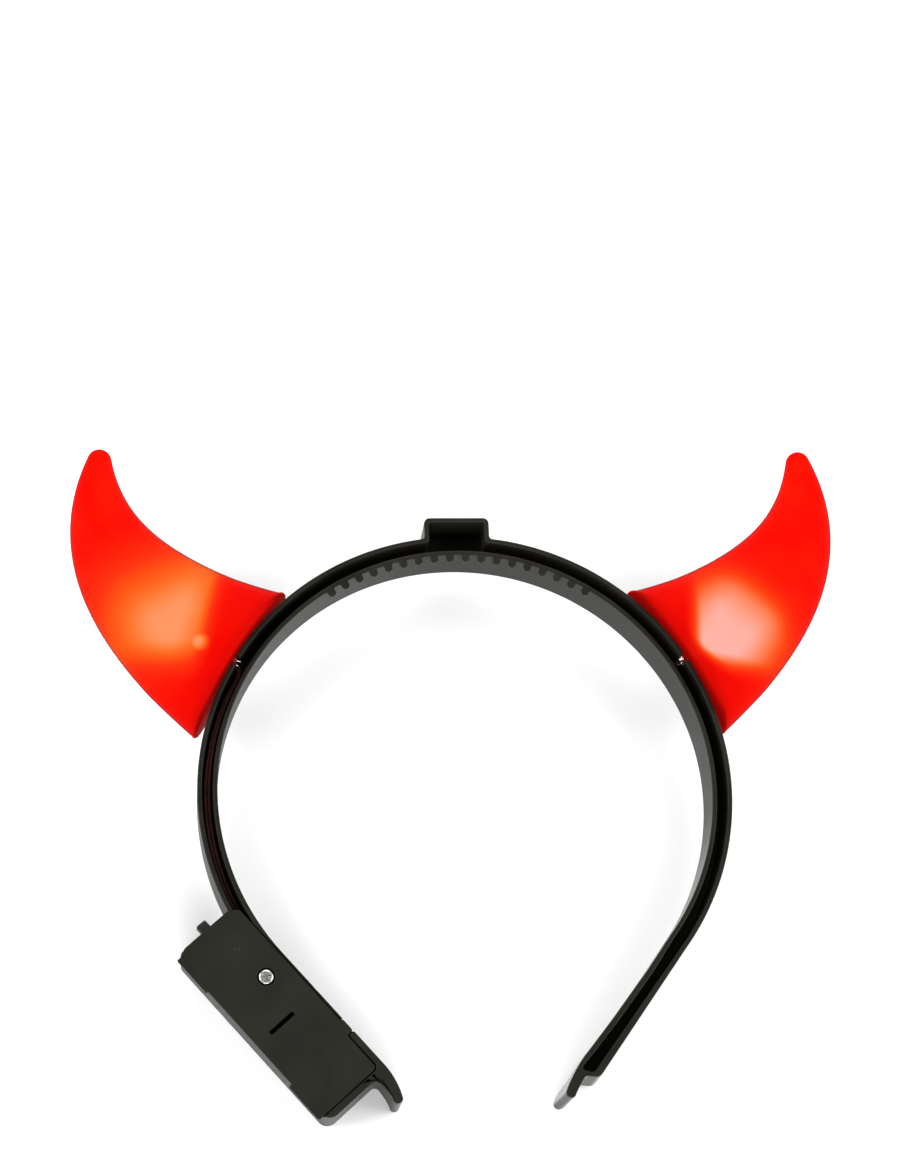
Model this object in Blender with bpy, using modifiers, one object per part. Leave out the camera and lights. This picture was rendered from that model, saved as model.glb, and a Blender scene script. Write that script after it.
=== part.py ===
"""Devil horns headband with a lamp in each horn, lying on its side as it would rest on a table.

Metres, +Z up. The band is drawn flat about the centre of its ring, with +Y towards the top of the head,
+X to the right and its open rim towards +Z. At the end the whole object is tilted by the few degrees that
bring the undersides of both horns and the lower corner of the battery case onto one level, and is centred.
"""

import math

import bmesh
import bpy
import numpy as np

COLLECTION = "devil_horns_headband"

# Band: a U-shaped channel, open at the front rim and closed by a thin back.
RING_RADIUS = 0.0728
BAND_THICKNESS = 0.0055
BAND_WIDTH = 0.0146
WALL = 0.0013
GAP = 0.0003
ARC_STEP = math.radians(4.0)
INNER_RADIUS = RING_RADIUS - BAND_THICKNESS
CHANNEL_OUT = RING_RADIUS - WALL
CHANNEL_IN = INNER_RADIUS + WALL
CUT_ABOVE = 0.004

# Legs: straight from the bend down, each ending in a solid tongue that flares outwards.
# Columns: sign of x, bend below the horizontal, end of the tongue along the leg, radius of its flare.
LEGS = {
    "left": (-1, math.radians(41.0), 0.0505, 0.021),
    "right": (1, math.radians(38.0), 0.0519, 0.040),
}
FLARE_START = 0.040
TONGUE_THICKNESS = 0.0034
TONGUE_TAPER = 0.0007
TONGUE_ROUND = 0.0012
LEG_END = 0.0425
LEG_END_OUT = 0.0739
LEG_CHANNEL_END = 0.0437
LEG_CHANNEL_OUT = 0.0719
LEG_ROUND = 0.0020

# The right leg is a little slimmer in its middle.
# Columns: along the leg, inner face, inner side of the channel.
SLIM_ROWS = (
    (0.0380, 0.0674, 0.0689),
    (0.0270, 0.0677, 0.0693),
    (0.0110, 0.0677, 0.0693),
)

# Tab: the outer wall is raised as a hollow box at the top of the ring.
TAB_HALF_WIDTH = 0.0091
TAB_TOP = 0.0784
TAB_ROUND = 0.0016
TAB_FOOT_ROUND = 0.0010
TAB_FOOT_ANGLE = math.radians(9.0)

# Comb of round teeth on the inner edge, flush with the front rim.
TOOTH_COUNT = 18
TOOTH_PITCH = math.radians(3.77)
TOOTH_TIP_RADIUS = 0.0651
TOOTH_WIDTH = 0.0019
TOOTH_DEPTH = 0.0012
TOOTH_ROOT = 0.0004

# Wire notches in the outer wall, one behind each horn.
NOTCH_ANGLE = math.radians(59.2)
NOTCH_WIDTH = 0.0024
NOTCH_DEPTH = 0.0067

# Battery case on the left leg, in that leg's frame: along the leg, and out from the ring's centre.
CASE_TOP = -0.0177
CASE_END = 0.0415
CASE_OUT = 0.0882
CASE_END_WALL = 0.0031
CASE_ROUND = 0.0020
CASE_END_ROUND = 0.0030
CASE_INSIDE_ROUND = 0.0012
CASE_WEB_ROUND = 0.0015

# Lid, with a finger slot and a snap tab that fills a window in the inner wall.
LID_THICKNESS = 0.0013
LID_END = 0.0393
LID_OUT = 0.0893
LID_END_OUT = 0.0897
LID_STEP = 0.0006
LID_STEP_START = -0.0050
LID_STEP_END = 0.0276
LID_SHOULDER = 0.0875
LID_SHOULDER_ALONG = -0.0166
LID_IN = 0.0681
LID_END_IN = 0.0694
LID_ROUND = 0.0011
LID_TOP_ROUND = 0.0022
LID_TOP_CHAMFER = 0.0019
SNAP_START = 0.0238
SNAP_END = 0.0280
SNAP_IN = 0.0674
SLOT_ALONG = 0.0141
SLOT_OUT = 0.0799
SLOT_LENGTH = 0.0082
SLOT_WIDTH = 0.0012

# Screw and its boss.
SCREW_ALONG = 0.0022
SCREW_OUT = 0.0748
SCREW_HEAD_RADIUS = 0.00205
SCREW_HEAD_HEIGHT = 0.0008
SCREW_SHANK_RADIUS = 0.0011
SCREW_LENGTH = 0.0085
SCREW_SINK = 0.0001
CROSS_LENGTH = 0.0024
CROSS_WIDTH = 0.0005
CROSS_END_WIDTH = 0.0004
CROSS_DEPTH = 0.0004
COUNTERBORE_RADIUS = 0.0024
BOSS_RADIUS = 0.0030

# Slide switch in the top end wall of the case.
KNOB_OUT_LOW = 0.0764
KNOB_OUT_HIGH = 0.0795
KNOB_REACH = 0.0026
KNOB_HEIGHT = 0.0027
KNOB_TRAVEL = 0.0014
KNOB_PLATE_LENGTH = 0.0062
KNOB_PLATE_THICKNESS = 0.0012

# Horns: sections up each horn, at its angle from the top of the ring.
# Columns: height over the band, lean towards the top, half width in the band's plane, half depth.
HORN_ANGLE = math.radians(57.9)
HORN_SECTIONS = (
    (0.0003, 0.0000, 0.0235, 0.0170),
    (0.0090, 0.0001, 0.0215, 0.0164),
    (0.0193, 0.0008, 0.0189, 0.0151),
    (0.0294, 0.0027, 0.0164, 0.0136),
    (0.0391, 0.0060, 0.0137, 0.0119),
    (0.0483, 0.0107, 0.0109, 0.0099),
    (0.0562, 0.0172, 0.0081, 0.0076),
    (0.0612, 0.0234, 0.0059, 0.0058),
    (0.0643, 0.0298, 0.0034, 0.0034),
)
HORN_WALL = 0.0012
HORN_SIDES = 24
HORN_RINGS = 13
HORN_BASE_RADIUS = 0.126
HORN_SADDLE_FADE = 0.014
HORN_RIM_ROUND = 0.0018
HORN_RIM_STEPS = 3
HORN_TIP_ANGLES = (25.0, 50.0, 72.0)
LAMP_HOLE_RADIUS = 0.0032
LAMP_OFFSET = RING_RADIUS * (HORN_ANGLE - NOTCH_ANGLE)

# Lamp: a round-headed body on a collar that stands in the hole of the horn's floor.
LAMP_RADIUS = 0.0025
LAMP_COLLAR_RADIUS = 0.0029
LAMP_FOOT = 0.0009
LAMP_COLLAR_HEIGHT = 0.0030
LAMP_HEIGHT = 0.0122
ROUND_STEPS = 16

# Leads in the channel.
WIRE_RADIUS = 0.00095
WIRE_RISE = {"left": 0.0092, "right": 0.0036}
WIRE_NOTCH_HEIGHT = 0.0092
WIRE_START_ALONG = -0.0080
WIRE_START_OUT = 0.0718
WIRE_LANE_START = math.radians(13.0)
WIRE_LANE = (CHANNEL_IN + CHANNEL_OUT) / 2
WIRE_STEP = math.radians(5.0)
WIRE_SIDES_RESOLUTION = 2
WIRE_TURN = math.radians(3.0)

# Colours: red, green, blue, roughness, metallic.
COLOURS = {
    "black_plastic": (0.028, 0.028, 0.026, 0.42, 0.0),
    "dark_plastic": (0.020, 0.020, 0.019, 0.50, 0.0),
    "red_plastic": (0.900, 0.020, 0.005, 0.35, 0.0),
    "steel": (0.620, 0.620, 0.600, 0.30, 1.0),
    "lamp_plastic": (0.900, 0.550, 0.450, 0.20, 0.0),
    "wire_plastic": (0.180, 0.010, 0.010, 0.40, 0.0),
}


def clear_scene():
    """Takes every object out of the scene."""
    for obj in list(bpy.data.objects):
        bpy.data.objects.remove(obj, do_unlink=True)


def new_collection(name, hidden=False):
    """A collection linked to the scene."""
    collection = bpy.data.collections.new(name)
    collection.hide_render = hidden
    bpy.context.scene.collection.children.link(collection)
    return collection


def plastic(name):
    """Principled material from the table of colours."""
    red, green, blue, roughness, metallic = COLOURS[name]
    material = bpy.data.materials.get(name) or bpy.data.materials.new(name)
    material.use_nodes = True
    shader = material.node_tree.nodes["Principled BSDF"]
    shader.inputs["Base Color"].default_value = (red, green, blue, 1.0)
    shader.inputs["Roughness"].default_value = roughness
    shader.inputs["Metallic"].default_value = metallic
    return material


def ring_point(angle, radius):
    """Point of the ring's plane at an angle from the top, positive to the right."""
    return (radius * math.sin(angle), radius * math.cos(angle))


def leg_point(side, along, out):
    """Point in the frame of a straight leg: along it from the bend, and out from the ring's centre."""
    sign, bend = LEGS[side][:2]
    x = out * math.cos(bend) - along * math.sin(bend)
    y = -out * math.sin(bend) - along * math.cos(bend)
    return (sign * x, y)


def leg_angle(side):
    """Angle from the top at which the ring turns into the straight leg."""
    sign, bend = LEGS[side][:2]
    return sign * (math.pi / 2 + bend)


def ring_arc(radius, start, end):
    """Sharp corners along the ring, both ends included."""
    count = max(1, math.ceil(abs(end - start) / ARC_STEP))
    angles = [start + (end - start) * step / count for step in range(count + 1)]
    return [(*ring_point(angle, radius), 0.0) for angle in angles]


def leg_corners(side, rows):
    """Corners (along, out, rounding) of a leg's frame as corners (x, y, rounding)."""
    return [(*leg_point(side, along, out), rounding) for along, out, rounding in rows]


def filleted(corners):
    """Closed outline through corners (x, y, rounding), with an arc where the rounding isn't zero."""
    outline = []
    for index, (x, y, rounding) in enumerate(corners):
        here = np.array((x, y))
        if not rounding:
            outline.append(here)
            continue
        before = np.array(corners[index - 1][:2]) - here
        after = np.array(corners[(index + 1) % len(corners)][:2]) - here
        before = before / np.linalg.norm(before)
        after = after / np.linalg.norm(after)
        half = math.acos(float(np.clip(before @ after, -1.0, 1.0))) / 2
        middle = before + after
        centre = here + middle / np.linalg.norm(middle) * rounding / math.sin(half)
        first = here + before * rounding / math.tan(half) - centre
        last = here + after * rounding / math.tan(half) - centre
        sweep = math.pi - 2 * half
        steps = max(2, round(sweep / math.radians(24.0)))
        for step in range(steps + 1):
            part = step / steps
            weight_first = math.sin((1 - part) * sweep) / math.sin(sweep)
            weight_last = math.sin(part * sweep) / math.sin(sweep)
            outline.append(centre + first * weight_first + last * weight_last)
    return outline


def extruded(name, outline, low, high):
    """Mesh object of a flat outline between two heights, made from a filled 2D curve."""
    curve = bpy.data.curves.new(name, "CURVE")
    curve.dimensions = "2D"
    curve.fill_mode = "BOTH"
    curve.extrude = (high - low) / 2
    spline = curve.splines.new("POLY")
    spline.points.add(len(outline) - 1)
    for point, place in zip(spline.points, outline):
        point.co = (place[0], place[1], 0.0, 1.0)
    spline.use_cyclic_u = True
    return as_mesh(curve, (low + high) / 2)


def as_mesh(curve, height=0.0):
    """Turns a curve into a mesh object of the same name, with its caps joined, lifted to a height."""
    source = bpy.data.objects.new(curve.name, curve)
    bpy.context.scene.collection.objects.link(source)
    source.location = (0.0, 0.0, height)
    bpy.context.view_layer.update()
    graph = bpy.context.evaluated_depsgraph_get()
    mesh = bpy.data.meshes.new_from_object(source.evaluated_get(graph))
    mesh.transform(source.matrix_world)
    mesh.name = curve.name
    name = curve.name
    bpy.data.objects.remove(source, do_unlink=True)
    bpy.data.curves.remove(curve)
    shape = bmesh.new()
    shape.from_mesh(mesh)
    bmesh.ops.remove_doubles(shape, verts=shape.verts, dist=1e-6)
    bmesh.ops.recalc_face_normals(shape, faces=shape.faces)
    shape.to_mesh(mesh)
    shape.free()
    return bpy.data.objects.new(name, mesh)


def box_in_leg(name, side, along, out, height):
    """Box between pairs of limits in a leg's frame."""
    rows = [(along[0], out[0]), (along[1], out[0]), (along[1], out[1]), (along[0], out[1])]
    outline = [leg_point(side, *row) for row in rows]
    return extruded(name, outline, *height)


def round_post(name, centre, radius, low, high, sides=ROUND_STEPS):
    """Upright cylinder."""
    shape = bmesh.new()
    bmesh.ops.create_cone(
        shape, cap_ends=True, segments=sides, radius1=radius, radius2=radius, depth=high - low
    )
    bmesh.ops.translate(shape, verts=shape.verts, vec=(*centre, (low + high) / 2))
    mesh = bpy.data.meshes.new(name)
    shape.to_mesh(mesh)
    shape.free()
    return bpy.data.objects.new(name, mesh)


def boolean(target, tool, operation, cutters):
    """Adds an exact Boolean, and files its tool with the cutters."""
    cutters.objects.link(tool)
    tool.hide_render = True
    tool.display_type = "WIRE"
    modifier = target.modifiers.new(tool.name, "BOOLEAN")
    modifier.operation = operation
    modifier.solver = "EXACT"
    modifier.object = tool


def finish(obj, parts, material, smooth_angle=None):
    """Files a piece with the parts, gives it its material and its shading."""
    parts.objects.link(obj)
    obj.data.materials.clear()
    obj.data.materials.append(plastic(material))
    if smooth_angle is not None:
        obj.data.shade_smooth()
        obj.data.set_sharp_from_angle(angle=math.radians(smooth_angle))
    return obj


def tongue_in(side, along):
    """Inner face of a tongue: straight, then bent outwards on an arc."""
    return INNER_RADIUS + max(0.0, along - FLARE_START) ** 2 / (2 * LEGS[side][3])


def tongue_out(side, along):
    """Outer face of a tongue, which gets thinner towards its end."""
    part = (along - FLARE_START) / (LEGS[side][2] - FLARE_START)
    return tongue_in(side, along) + TONGUE_THICKNESS - TONGUE_TAPER * part


def tongue(side, root):
    """Corners round a tongue, from its root on the outer face, round the end, to the start of the flare."""
    end = LEGS[side][2]
    outer = np.linspace(root, end - 2 * TONGUE_ROUND, 4)
    inner = np.linspace(end - 2 * TONGUE_ROUND, FLARE_START, 5)
    rows = [(along, tongue_out(side, along), 0.0) for along in outer[1:]]
    rows.append((end - TONGUE_ROUND / 2, tongue_out(side, end), TONGUE_ROUND))
    rows.append((end, tongue_in(side, end), TONGUE_ROUND))
    rows += [(along, tongue_in(side, along), 0.0) for along in inner]
    return leg_corners(side, rows)


def tab_corners(half_width, top, rounding, foot_rounding, radius):
    """Corners of the tab from its right foot to its left foot."""
    foot = math.sqrt(radius**2 - half_width**2)
    return [
        (half_width, foot, foot_rounding),
        (half_width, top, rounding),
        (-half_width, top, rounding),
        (-half_width, foot, foot_rounding),
    ]


def headband_outline():
    """Outline of the whole black moulding, anticlockwise from the right tongue."""
    right_root = LEG_END + LEG_ROUND
    slim = leg_corners("right", [(along, face, 0.0) for along, face, _ in SLIM_ROWS[::-1]])
    right = slim + tongue("right", right_root)[::-1]
    right += leg_corners(
        "right",
        [
            (right_root, tongue_out("right", right_root), TONGUE_ROUND / 2),
            (LEG_END, LEG_END_OUT, LEG_ROUND),
        ],
    )
    over_right = ring_arc(RING_RADIUS, leg_angle("right"), TAB_FOOT_ANGLE)
    tab = tab_corners(TAB_HALF_WIDTH, TAB_TOP, TAB_ROUND, TAB_FOOT_ROUND, RING_RADIUS)
    case_meets = leg_angle("left") - math.asin(CASE_TOP / RING_RADIUS)
    over_left = ring_arc(RING_RADIUS, -TAB_FOOT_ANGLE, case_meets)
    case = leg_corners(
        "left",
        [
            (CASE_TOP, CASE_OUT, CASE_ROUND),
            (CASE_END, CASE_OUT, CASE_END_ROUND),
            (CASE_END, tongue_out("left", CASE_END), CASE_WEB_ROUND),
        ],
    )
    left = tongue("left", CASE_END + CASE_WEB_ROUND)
    inside = ring_arc(INNER_RADIUS, leg_angle("left"), leg_angle("right"))
    return filleted(right + over_right + tab + over_left + case + left + inside)


def channel_outline():
    """Outline of the hollow: the band's channel, the inside of the tab and of the battery case."""
    inner_top = TAB_TOP - WALL
    inner_half = TAB_HALF_WIDTH - WALL
    slim = leg_corners("right", [(along, face, 0.0) for along, _, face in SLIM_ROWS[::-1]])
    right = slim + leg_corners(
        "right",
        [
            (LEG_CHANNEL_END, CHANNEL_IN, WALL / 2),
            (LEG_CHANNEL_END - WALL, LEG_CHANNEL_OUT, WALL),
        ],
    )
    over_right = ring_arc(CHANNEL_OUT, leg_angle("right"), TAB_FOOT_ANGLE)
    tab = tab_corners(inner_half, inner_top, WALL / 2, TAB_FOOT_ROUND, CHANNEL_OUT)
    wall_face = CASE_TOP + WALL
    case_meets = leg_angle("left") - math.asin(wall_face / CHANNEL_OUT)
    over_left = ring_arc(CHANNEL_OUT, -TAB_FOOT_ANGLE, case_meets)
    case = leg_corners(
        "left",
        [
            (wall_face, CASE_OUT - WALL, CASE_INSIDE_ROUND),
            (CASE_END - CASE_END_WALL, CASE_OUT - WALL, CASE_INSIDE_ROUND),
            (CASE_END - CASE_END_WALL, CHANNEL_IN, CASE_INSIDE_ROUND),
        ],
    )
    inside = ring_arc(CHANNEL_IN, leg_angle("left"), leg_angle("right"))
    return filleted(right + over_right + tab + over_left + case + inside)


def lid_outline():
    """Outline of the lid in the left leg's frame, from the end nearest the ring."""
    rows = [
        (CASE_TOP, LID_IN + LID_TOP_CHAMFER + GAP, 0.0),
        (CASE_TOP, LID_SHOULDER, LID_TOP_ROUND),
        (LID_SHOULDER_ALONG, LID_SHOULDER, 0.0),
        (LID_SHOULDER_ALONG, LID_OUT, 0.0),
        (LID_STEP_START, LID_OUT, 0.0),
        (LID_STEP_START, LID_OUT - LID_STEP, 0.0),
        (LID_STEP_END, LID_OUT - LID_STEP, 0.0),
        (LID_STEP_END, LID_END_OUT, 0.0),
        (LID_END, LID_END_OUT, 0.0),
        (LID_END, LID_END_IN, LID_ROUND),
        (SNAP_END, LID_END_IN, 0.0),
        (SNAP_END - GAP, SNAP_IN, GAP),
        (SNAP_START + GAP, SNAP_IN, GAP),
        (SNAP_START, LID_IN, 0.0),
        (CASE_TOP + LID_TOP_CHAMFER, LID_IN, 0.0),
    ]
    return filleted(leg_corners("left", rows))


def lid_seat_outline():
    """Outline of the seat that the lid drops into: the lid's own, a gap larger, and open outwards."""
    beyond = LID_END_OUT + WALL
    rows = [
        (CASE_TOP - WALL, LID_IN + LID_TOP_CHAMFER, 0.0),
        (CASE_TOP - WALL, beyond, 0.0),
        (LID_END + GAP, beyond, 0.0),
        (LID_END + GAP, LID_END_IN - GAP, LID_ROUND + GAP),
        (SNAP_END + GAP, LID_END_IN - GAP, 0.0),
        (SNAP_END + GAP, INNER_RADIUS - WALL, 0.0),
        (SNAP_START - GAP, INNER_RADIUS - WALL, 0.0),
        (SNAP_START - GAP, LID_IN - GAP, 0.0),
        (CASE_TOP + LID_TOP_CHAMFER - GAP, LID_IN - GAP, 0.0),
    ]
    return filleted(leg_corners("left", rows))


def tooth_outline(angle):
    """One comb tooth: straight sides and a round tip that points to the ring's centre."""
    half = TOOTH_WIDTH / 2
    radial = np.array(ring_point(angle, 1.0))
    across = np.array(ring_point(angle + math.pi / 2, 1.0))
    root = radial * (INNER_RADIUS + TOOTH_ROOT)
    centre = radial * (TOOTH_TIP_RADIUS + half)
    turns = [math.pi * step / 6 for step in range(7)]
    tip = [centre + half * (across * math.cos(turn) - radial * math.sin(turn)) for turn in turns]
    return [root + across * half, *tip, root - across * half]


def make_headband(parts, cutters):
    """Band, tab, tongues and battery case, which are one moulding."""
    rim = BAND_WIDTH
    body = extruded("headband", headband_outline(), 0.0, rim)
    hollow = extruded("cut_hollow", channel_outline(), WALL, rim + CUT_ABOVE)
    boolean(body, hollow, "DIFFERENCE", cutters)
    seat_height = rim - LID_THICKNESS - GAP
    seat = extruded("cut_lid_seat", lid_seat_outline(), seat_height, rim + CUT_ABOVE)
    boolean(body, seat, "DIFFERENCE", cutters)
    for side in LEGS:
        boolean(body, notch_cutter(side), "DIFFERENCE", cutters)
    window = box_in_leg(
        "cut_switch_window",
        "left",
        (CASE_TOP - WALL, CASE_TOP + WALL + GAP),
        (KNOB_OUT_LOW - KNOB_TRAVEL - GAP, KNOB_OUT_HIGH + GAP),
        (knob_bottom() - GAP, rim),
    )
    boolean(body, window, "DIFFERENCE", cutters)
    place = leg_point("left", SCREW_ALONG, SCREW_OUT)
    boss = round_post("add_boss", place, BOSS_RADIUS, WALL / 2, seat_height)
    boolean(body, boss, "UNION", cutters)
    pilot_radius = SCREW_SHANK_RADIUS + GAP
    pilot = round_post("cut_pilot", place, pilot_radius, 2 * WALL, rim + CUT_ABOVE, 12)
    boolean(body, pilot, "DIFFERENCE", cutters)
    for index in range(TOOTH_COUNT):
        angle = (index - (TOOTH_COUNT - 1) / 2) * TOOTH_PITCH
        tooth = extruded(f"add_tooth_{index:02d}", tooth_outline(angle), rim - TOOTH_DEPTH, rim)
        boolean(body, tooth, "UNION", cutters)
    return finish(body, parts, "black_plastic", 25)


def notch_cutter(side):
    """Cutter of a wire notch, straight through the outer wall from the front rim."""
    angle = LEGS[side][0] * NOTCH_ANGLE
    radial = np.array(ring_point(angle, 1.0))
    across = np.array(ring_point(angle + math.pi / 2, NOTCH_WIDTH / 2))
    low = radial * (CHANNEL_OUT - WALL)
    high = radial * (RING_RADIUS + WALL)
    outline = [low - across, high - across, high + across, low + across]
    return extruded(f"cut_notch_{side}", outline, BAND_WIDTH - NOTCH_DEPTH, BAND_WIDTH + CUT_ABOVE)


def make_lid(parts, cutters):
    """Flat lid of the battery case, with its slot and its screw hole."""
    rim = BAND_WIDTH
    low = rim - LID_THICKNESS
    lid = extruded("battery_lid", lid_outline(), low, rim)
    slot = box_in_leg(
        "cut_slot",
        "left",
        (SLOT_ALONG - SLOT_WIDTH / 2, SLOT_ALONG + SLOT_WIDTH / 2),
        (SLOT_OUT - SLOT_LENGTH / 2, SLOT_OUT + SLOT_LENGTH / 2),
        (low - CUT_ABOVE, rim + CUT_ABOVE),
    )
    boolean(lid, slot, "DIFFERENCE", cutters)
    place = leg_point("left", SCREW_ALONG, SCREW_OUT)
    head_low = rim - SCREW_SINK - SCREW_HEAD_HEIGHT - GAP
    bore = round_post("cut_counterbore", place, COUNTERBORE_RADIUS, head_low, rim + CUT_ABOVE, 24)
    boolean(lid, bore, "DIFFERENCE", cutters)
    hole_radius = SCREW_SHANK_RADIUS + GAP
    hole = round_post("cut_screw_hole", place, hole_radius, low - CUT_ABOVE, rim + CUT_ABOVE, 12)
    boolean(lid, hole, "DIFFERENCE", cutters)
    return finish(lid, parts, "black_plastic", 25)


def turned(name, profile, steps=ROUND_STEPS):
    """Turned solid about its own Z from a profile that runs down its outer side, top to bottom."""
    mesh = bpy.data.meshes.new(name)
    points = [(radius, 0.0, height) for radius, height in profile]
    edges = [(index, index + 1) for index in range(len(points) - 1)]
    mesh.from_pydata(points, edges, [])
    obj = bpy.data.objects.new(name, mesh)
    screw = obj.modifiers.new("turn", "SCREW")
    screw.steps = steps
    screw.render_steps = steps
    screw.use_merge_vertices = True
    screw.merge_threshold = 1e-5
    return obj


def make_screw(parts, cutters):
    """Cross-head screw: a low domed head on a plain shank."""
    top = BAND_WIDTH - SCREW_SINK
    under = top - SCREW_HEAD_HEIGHT
    edge = under + SCREW_HEAD_HEIGHT / 2
    profile = [
        (0.0, top),
        (SCREW_HEAD_RADIUS * 0.6, top - SCREW_HEAD_HEIGHT * 0.1),
        (SCREW_HEAD_RADIUS * 0.9, top - SCREW_HEAD_HEIGHT * 0.3),
        (SCREW_HEAD_RADIUS, edge),
        (SCREW_HEAD_RADIUS, under),
        (SCREW_SHANK_RADIUS, under),
        (SCREW_SHANK_RADIUS, top - SCREW_LENGTH),
        (0.0, top - SCREW_LENGTH - SCREW_SHANK_RADIUS),
    ]
    screw = turned("lid_screw", profile, 20)
    screw.location = (*leg_point("left", SCREW_ALONG, SCREW_OUT), 0.0)
    half_long = CROSS_LENGTH / 2
    half_wide = CROSS_WIDTH / 2
    half_end = CROSS_END_WIDTH / 2
    cross = [
        (half_long, half_end),
        (half_wide, half_wide),
        (half_end, half_long),
        (-half_end, half_long),
        (-half_wide, half_wide),
        (-half_long, half_end),
        (-half_long, -half_end),
        (-half_wide, -half_wide),
        (-half_end, -half_long),
        (half_end, -half_long),
        (half_wide, -half_wide),
        (half_long, -half_end),
    ]
    recess = extruded("cut_cross", cross, top - CROSS_DEPTH, top + CUT_ABOVE)
    recess.location = screw.location
    boolean(screw, recess, "DIFFERENCE", cutters)
    return finish(screw, parts, "steel", 40)


def knob_bottom():
    """Height of the underside of the switch knob."""
    return BAND_WIDTH - LID_THICKNESS - 2 * GAP - KNOB_HEIGHT


def make_knob(parts):
    """Slide switch: a knob outside the end wall on a wider plate inside it."""
    face = CASE_TOP + WALL + GAP
    middle = (KNOB_OUT_LOW + KNOB_OUT_HIGH) / 2
    low = middle - KNOB_PLATE_LENGTH / 2
    high = middle + KNOB_PLATE_LENGTH / 2
    rows = [
        (CASE_TOP - KNOB_REACH, KNOB_OUT_LOW, GAP),
        (CASE_TOP - KNOB_REACH, KNOB_OUT_HIGH, GAP),
        (face, KNOB_OUT_HIGH, 0.0),
        (face, high, 0.0),
        (face + KNOB_PLATE_THICKNESS, high, 0.0),
        (face + KNOB_PLATE_THICKNESS, low, 0.0),
        (face, low, 0.0),
        (face, KNOB_OUT_LOW, 0.0),
    ]
    bottom = knob_bottom()
    outline = filleted(leg_corners("left", rows))
    knob = extruded("switch_knob", outline, bottom, bottom + KNOB_HEIGHT)
    return finish(knob, parts, "dark_plastic", 25)


def through(table, parts_along):
    """Smooth curve through the rows of a table: each stretch is a cubic with slopes taken from its neighbours."""
    rows = np.array(table)
    slopes = np.gradient(rows, axis=0)
    start = np.minimum(parts_along.astype(int), len(rows) - 2)
    part = (parts_along - start)[:, None]
    square = part**2
    cube = part**3
    return (
        rows[start] * (2 * cube - 3 * square + 1)
        + slopes[start] * (cube - 2 * square + part)
        + rows[start + 1] * (3 * square - 2 * cube)
        + slopes[start + 1] * (cube - square)
    )


def horn_rings():
    """Rings of the horn's outer skin as (height, lean, depth), from the lamp hole, over the rim, to the tip."""
    turn = np.linspace(0.0, 2 * math.pi, HORN_SIDES, endpoint=False)
    cosine = np.cos(turn)
    sine = np.sin(turn)
    floor, lean, half_width, half_depth = HORN_SECTIONS[0]

    def saddle(ring):
        fade = np.clip(1.0 - (ring[:, 0] - floor) / HORN_SADDLE_FADE, 0.0, 1.0)
        ring[:, 0] -= fade * ring[:, 1] ** 2 / (2 * HORN_BASE_RADIUS)
        return ring

    hole = np.stack(
        [
            np.full_like(turn, floor),
            LAMP_OFFSET + LAMP_HOLE_RADIUS * cosine,
            LAMP_HOLE_RADIUS * sine,
        ],
        axis=1,
    )
    rings = [hole]
    for step in range(HORN_RIM_STEPS + 1):
        angle = math.pi / 2 * step / HORN_RIM_STEPS
        inset = HORN_RIM_ROUND * (1.0 - math.sin(angle))
        height = floor + HORN_RIM_ROUND * (1.0 - math.cos(angle))
        across = lean + (half_width - inset) * cosine
        rings.append(np.stack([np.full_like(turn, height), across, (half_depth - inset) * sine], axis=1))
    middle = (rings[0] + rings[1]) / 2
    rings.insert(1, middle)
    along = np.linspace(0.0, len(HORN_SECTIONS) - 1.0, HORN_RINGS)
    rows = through(HORN_SECTIONS, along)
    nearby = through(HORN_SECTIONS, np.clip(along + 0.02, 0.0, len(HORN_SECTIONS) - 1.0))
    before = through(HORN_SECTIONS, np.clip(along - 0.02, 0.0, len(HORN_SECTIONS) - 1.0))
    axes = (nearby - before)[:, :2]
    axes /= np.linalg.norm(axes, axis=1)[:, None]
    for row, axis in zip(rows[1:], axes[1:]):
        rings.append(
            np.stack(
                [
                    row[0] - axis[1] * row[2] * cosine,
                    row[1] + axis[0] * row[2] * cosine,
                    row[3] * sine,
                ],
                axis=1,
            )
        )
    tip = rows[-1]
    axis = axes[-1]
    for degrees in HORN_TIP_ANGLES:
        angle = math.radians(degrees)
        forward = tip[2] * math.sin(angle)
        small = tip[2] * math.cos(angle)
        rings.append(
            np.stack(
                [
                    tip[0] + axis[0] * forward - axis[1] * small * cosine,
                    tip[1] + axis[1] * forward + axis[0] * small * cosine,
                    small * sine,
                ],
                axis=1,
            )
        )
    pole = np.array([tip[0] + axis[0] * tip[2], tip[1] + axis[1] * tip[2], 0.0])
    return [saddle(ring) for ring in rings], pole


def horn_place(side, height, lean, depth):
    """Point of the headband's frame from a horn's own (height, lean, depth)."""
    sign = LEGS[side][0]
    radial = np.array(ring_point(HORN_ANGLE, 1.0))
    upward = np.array(ring_point(HORN_ANGLE - math.pi / 2, 1.0))
    flat = radial * (RING_RADIUS + height) + upward * lean
    return (sign * flat[0], flat[1], BAND_WIDTH / 2 + depth)


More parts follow.
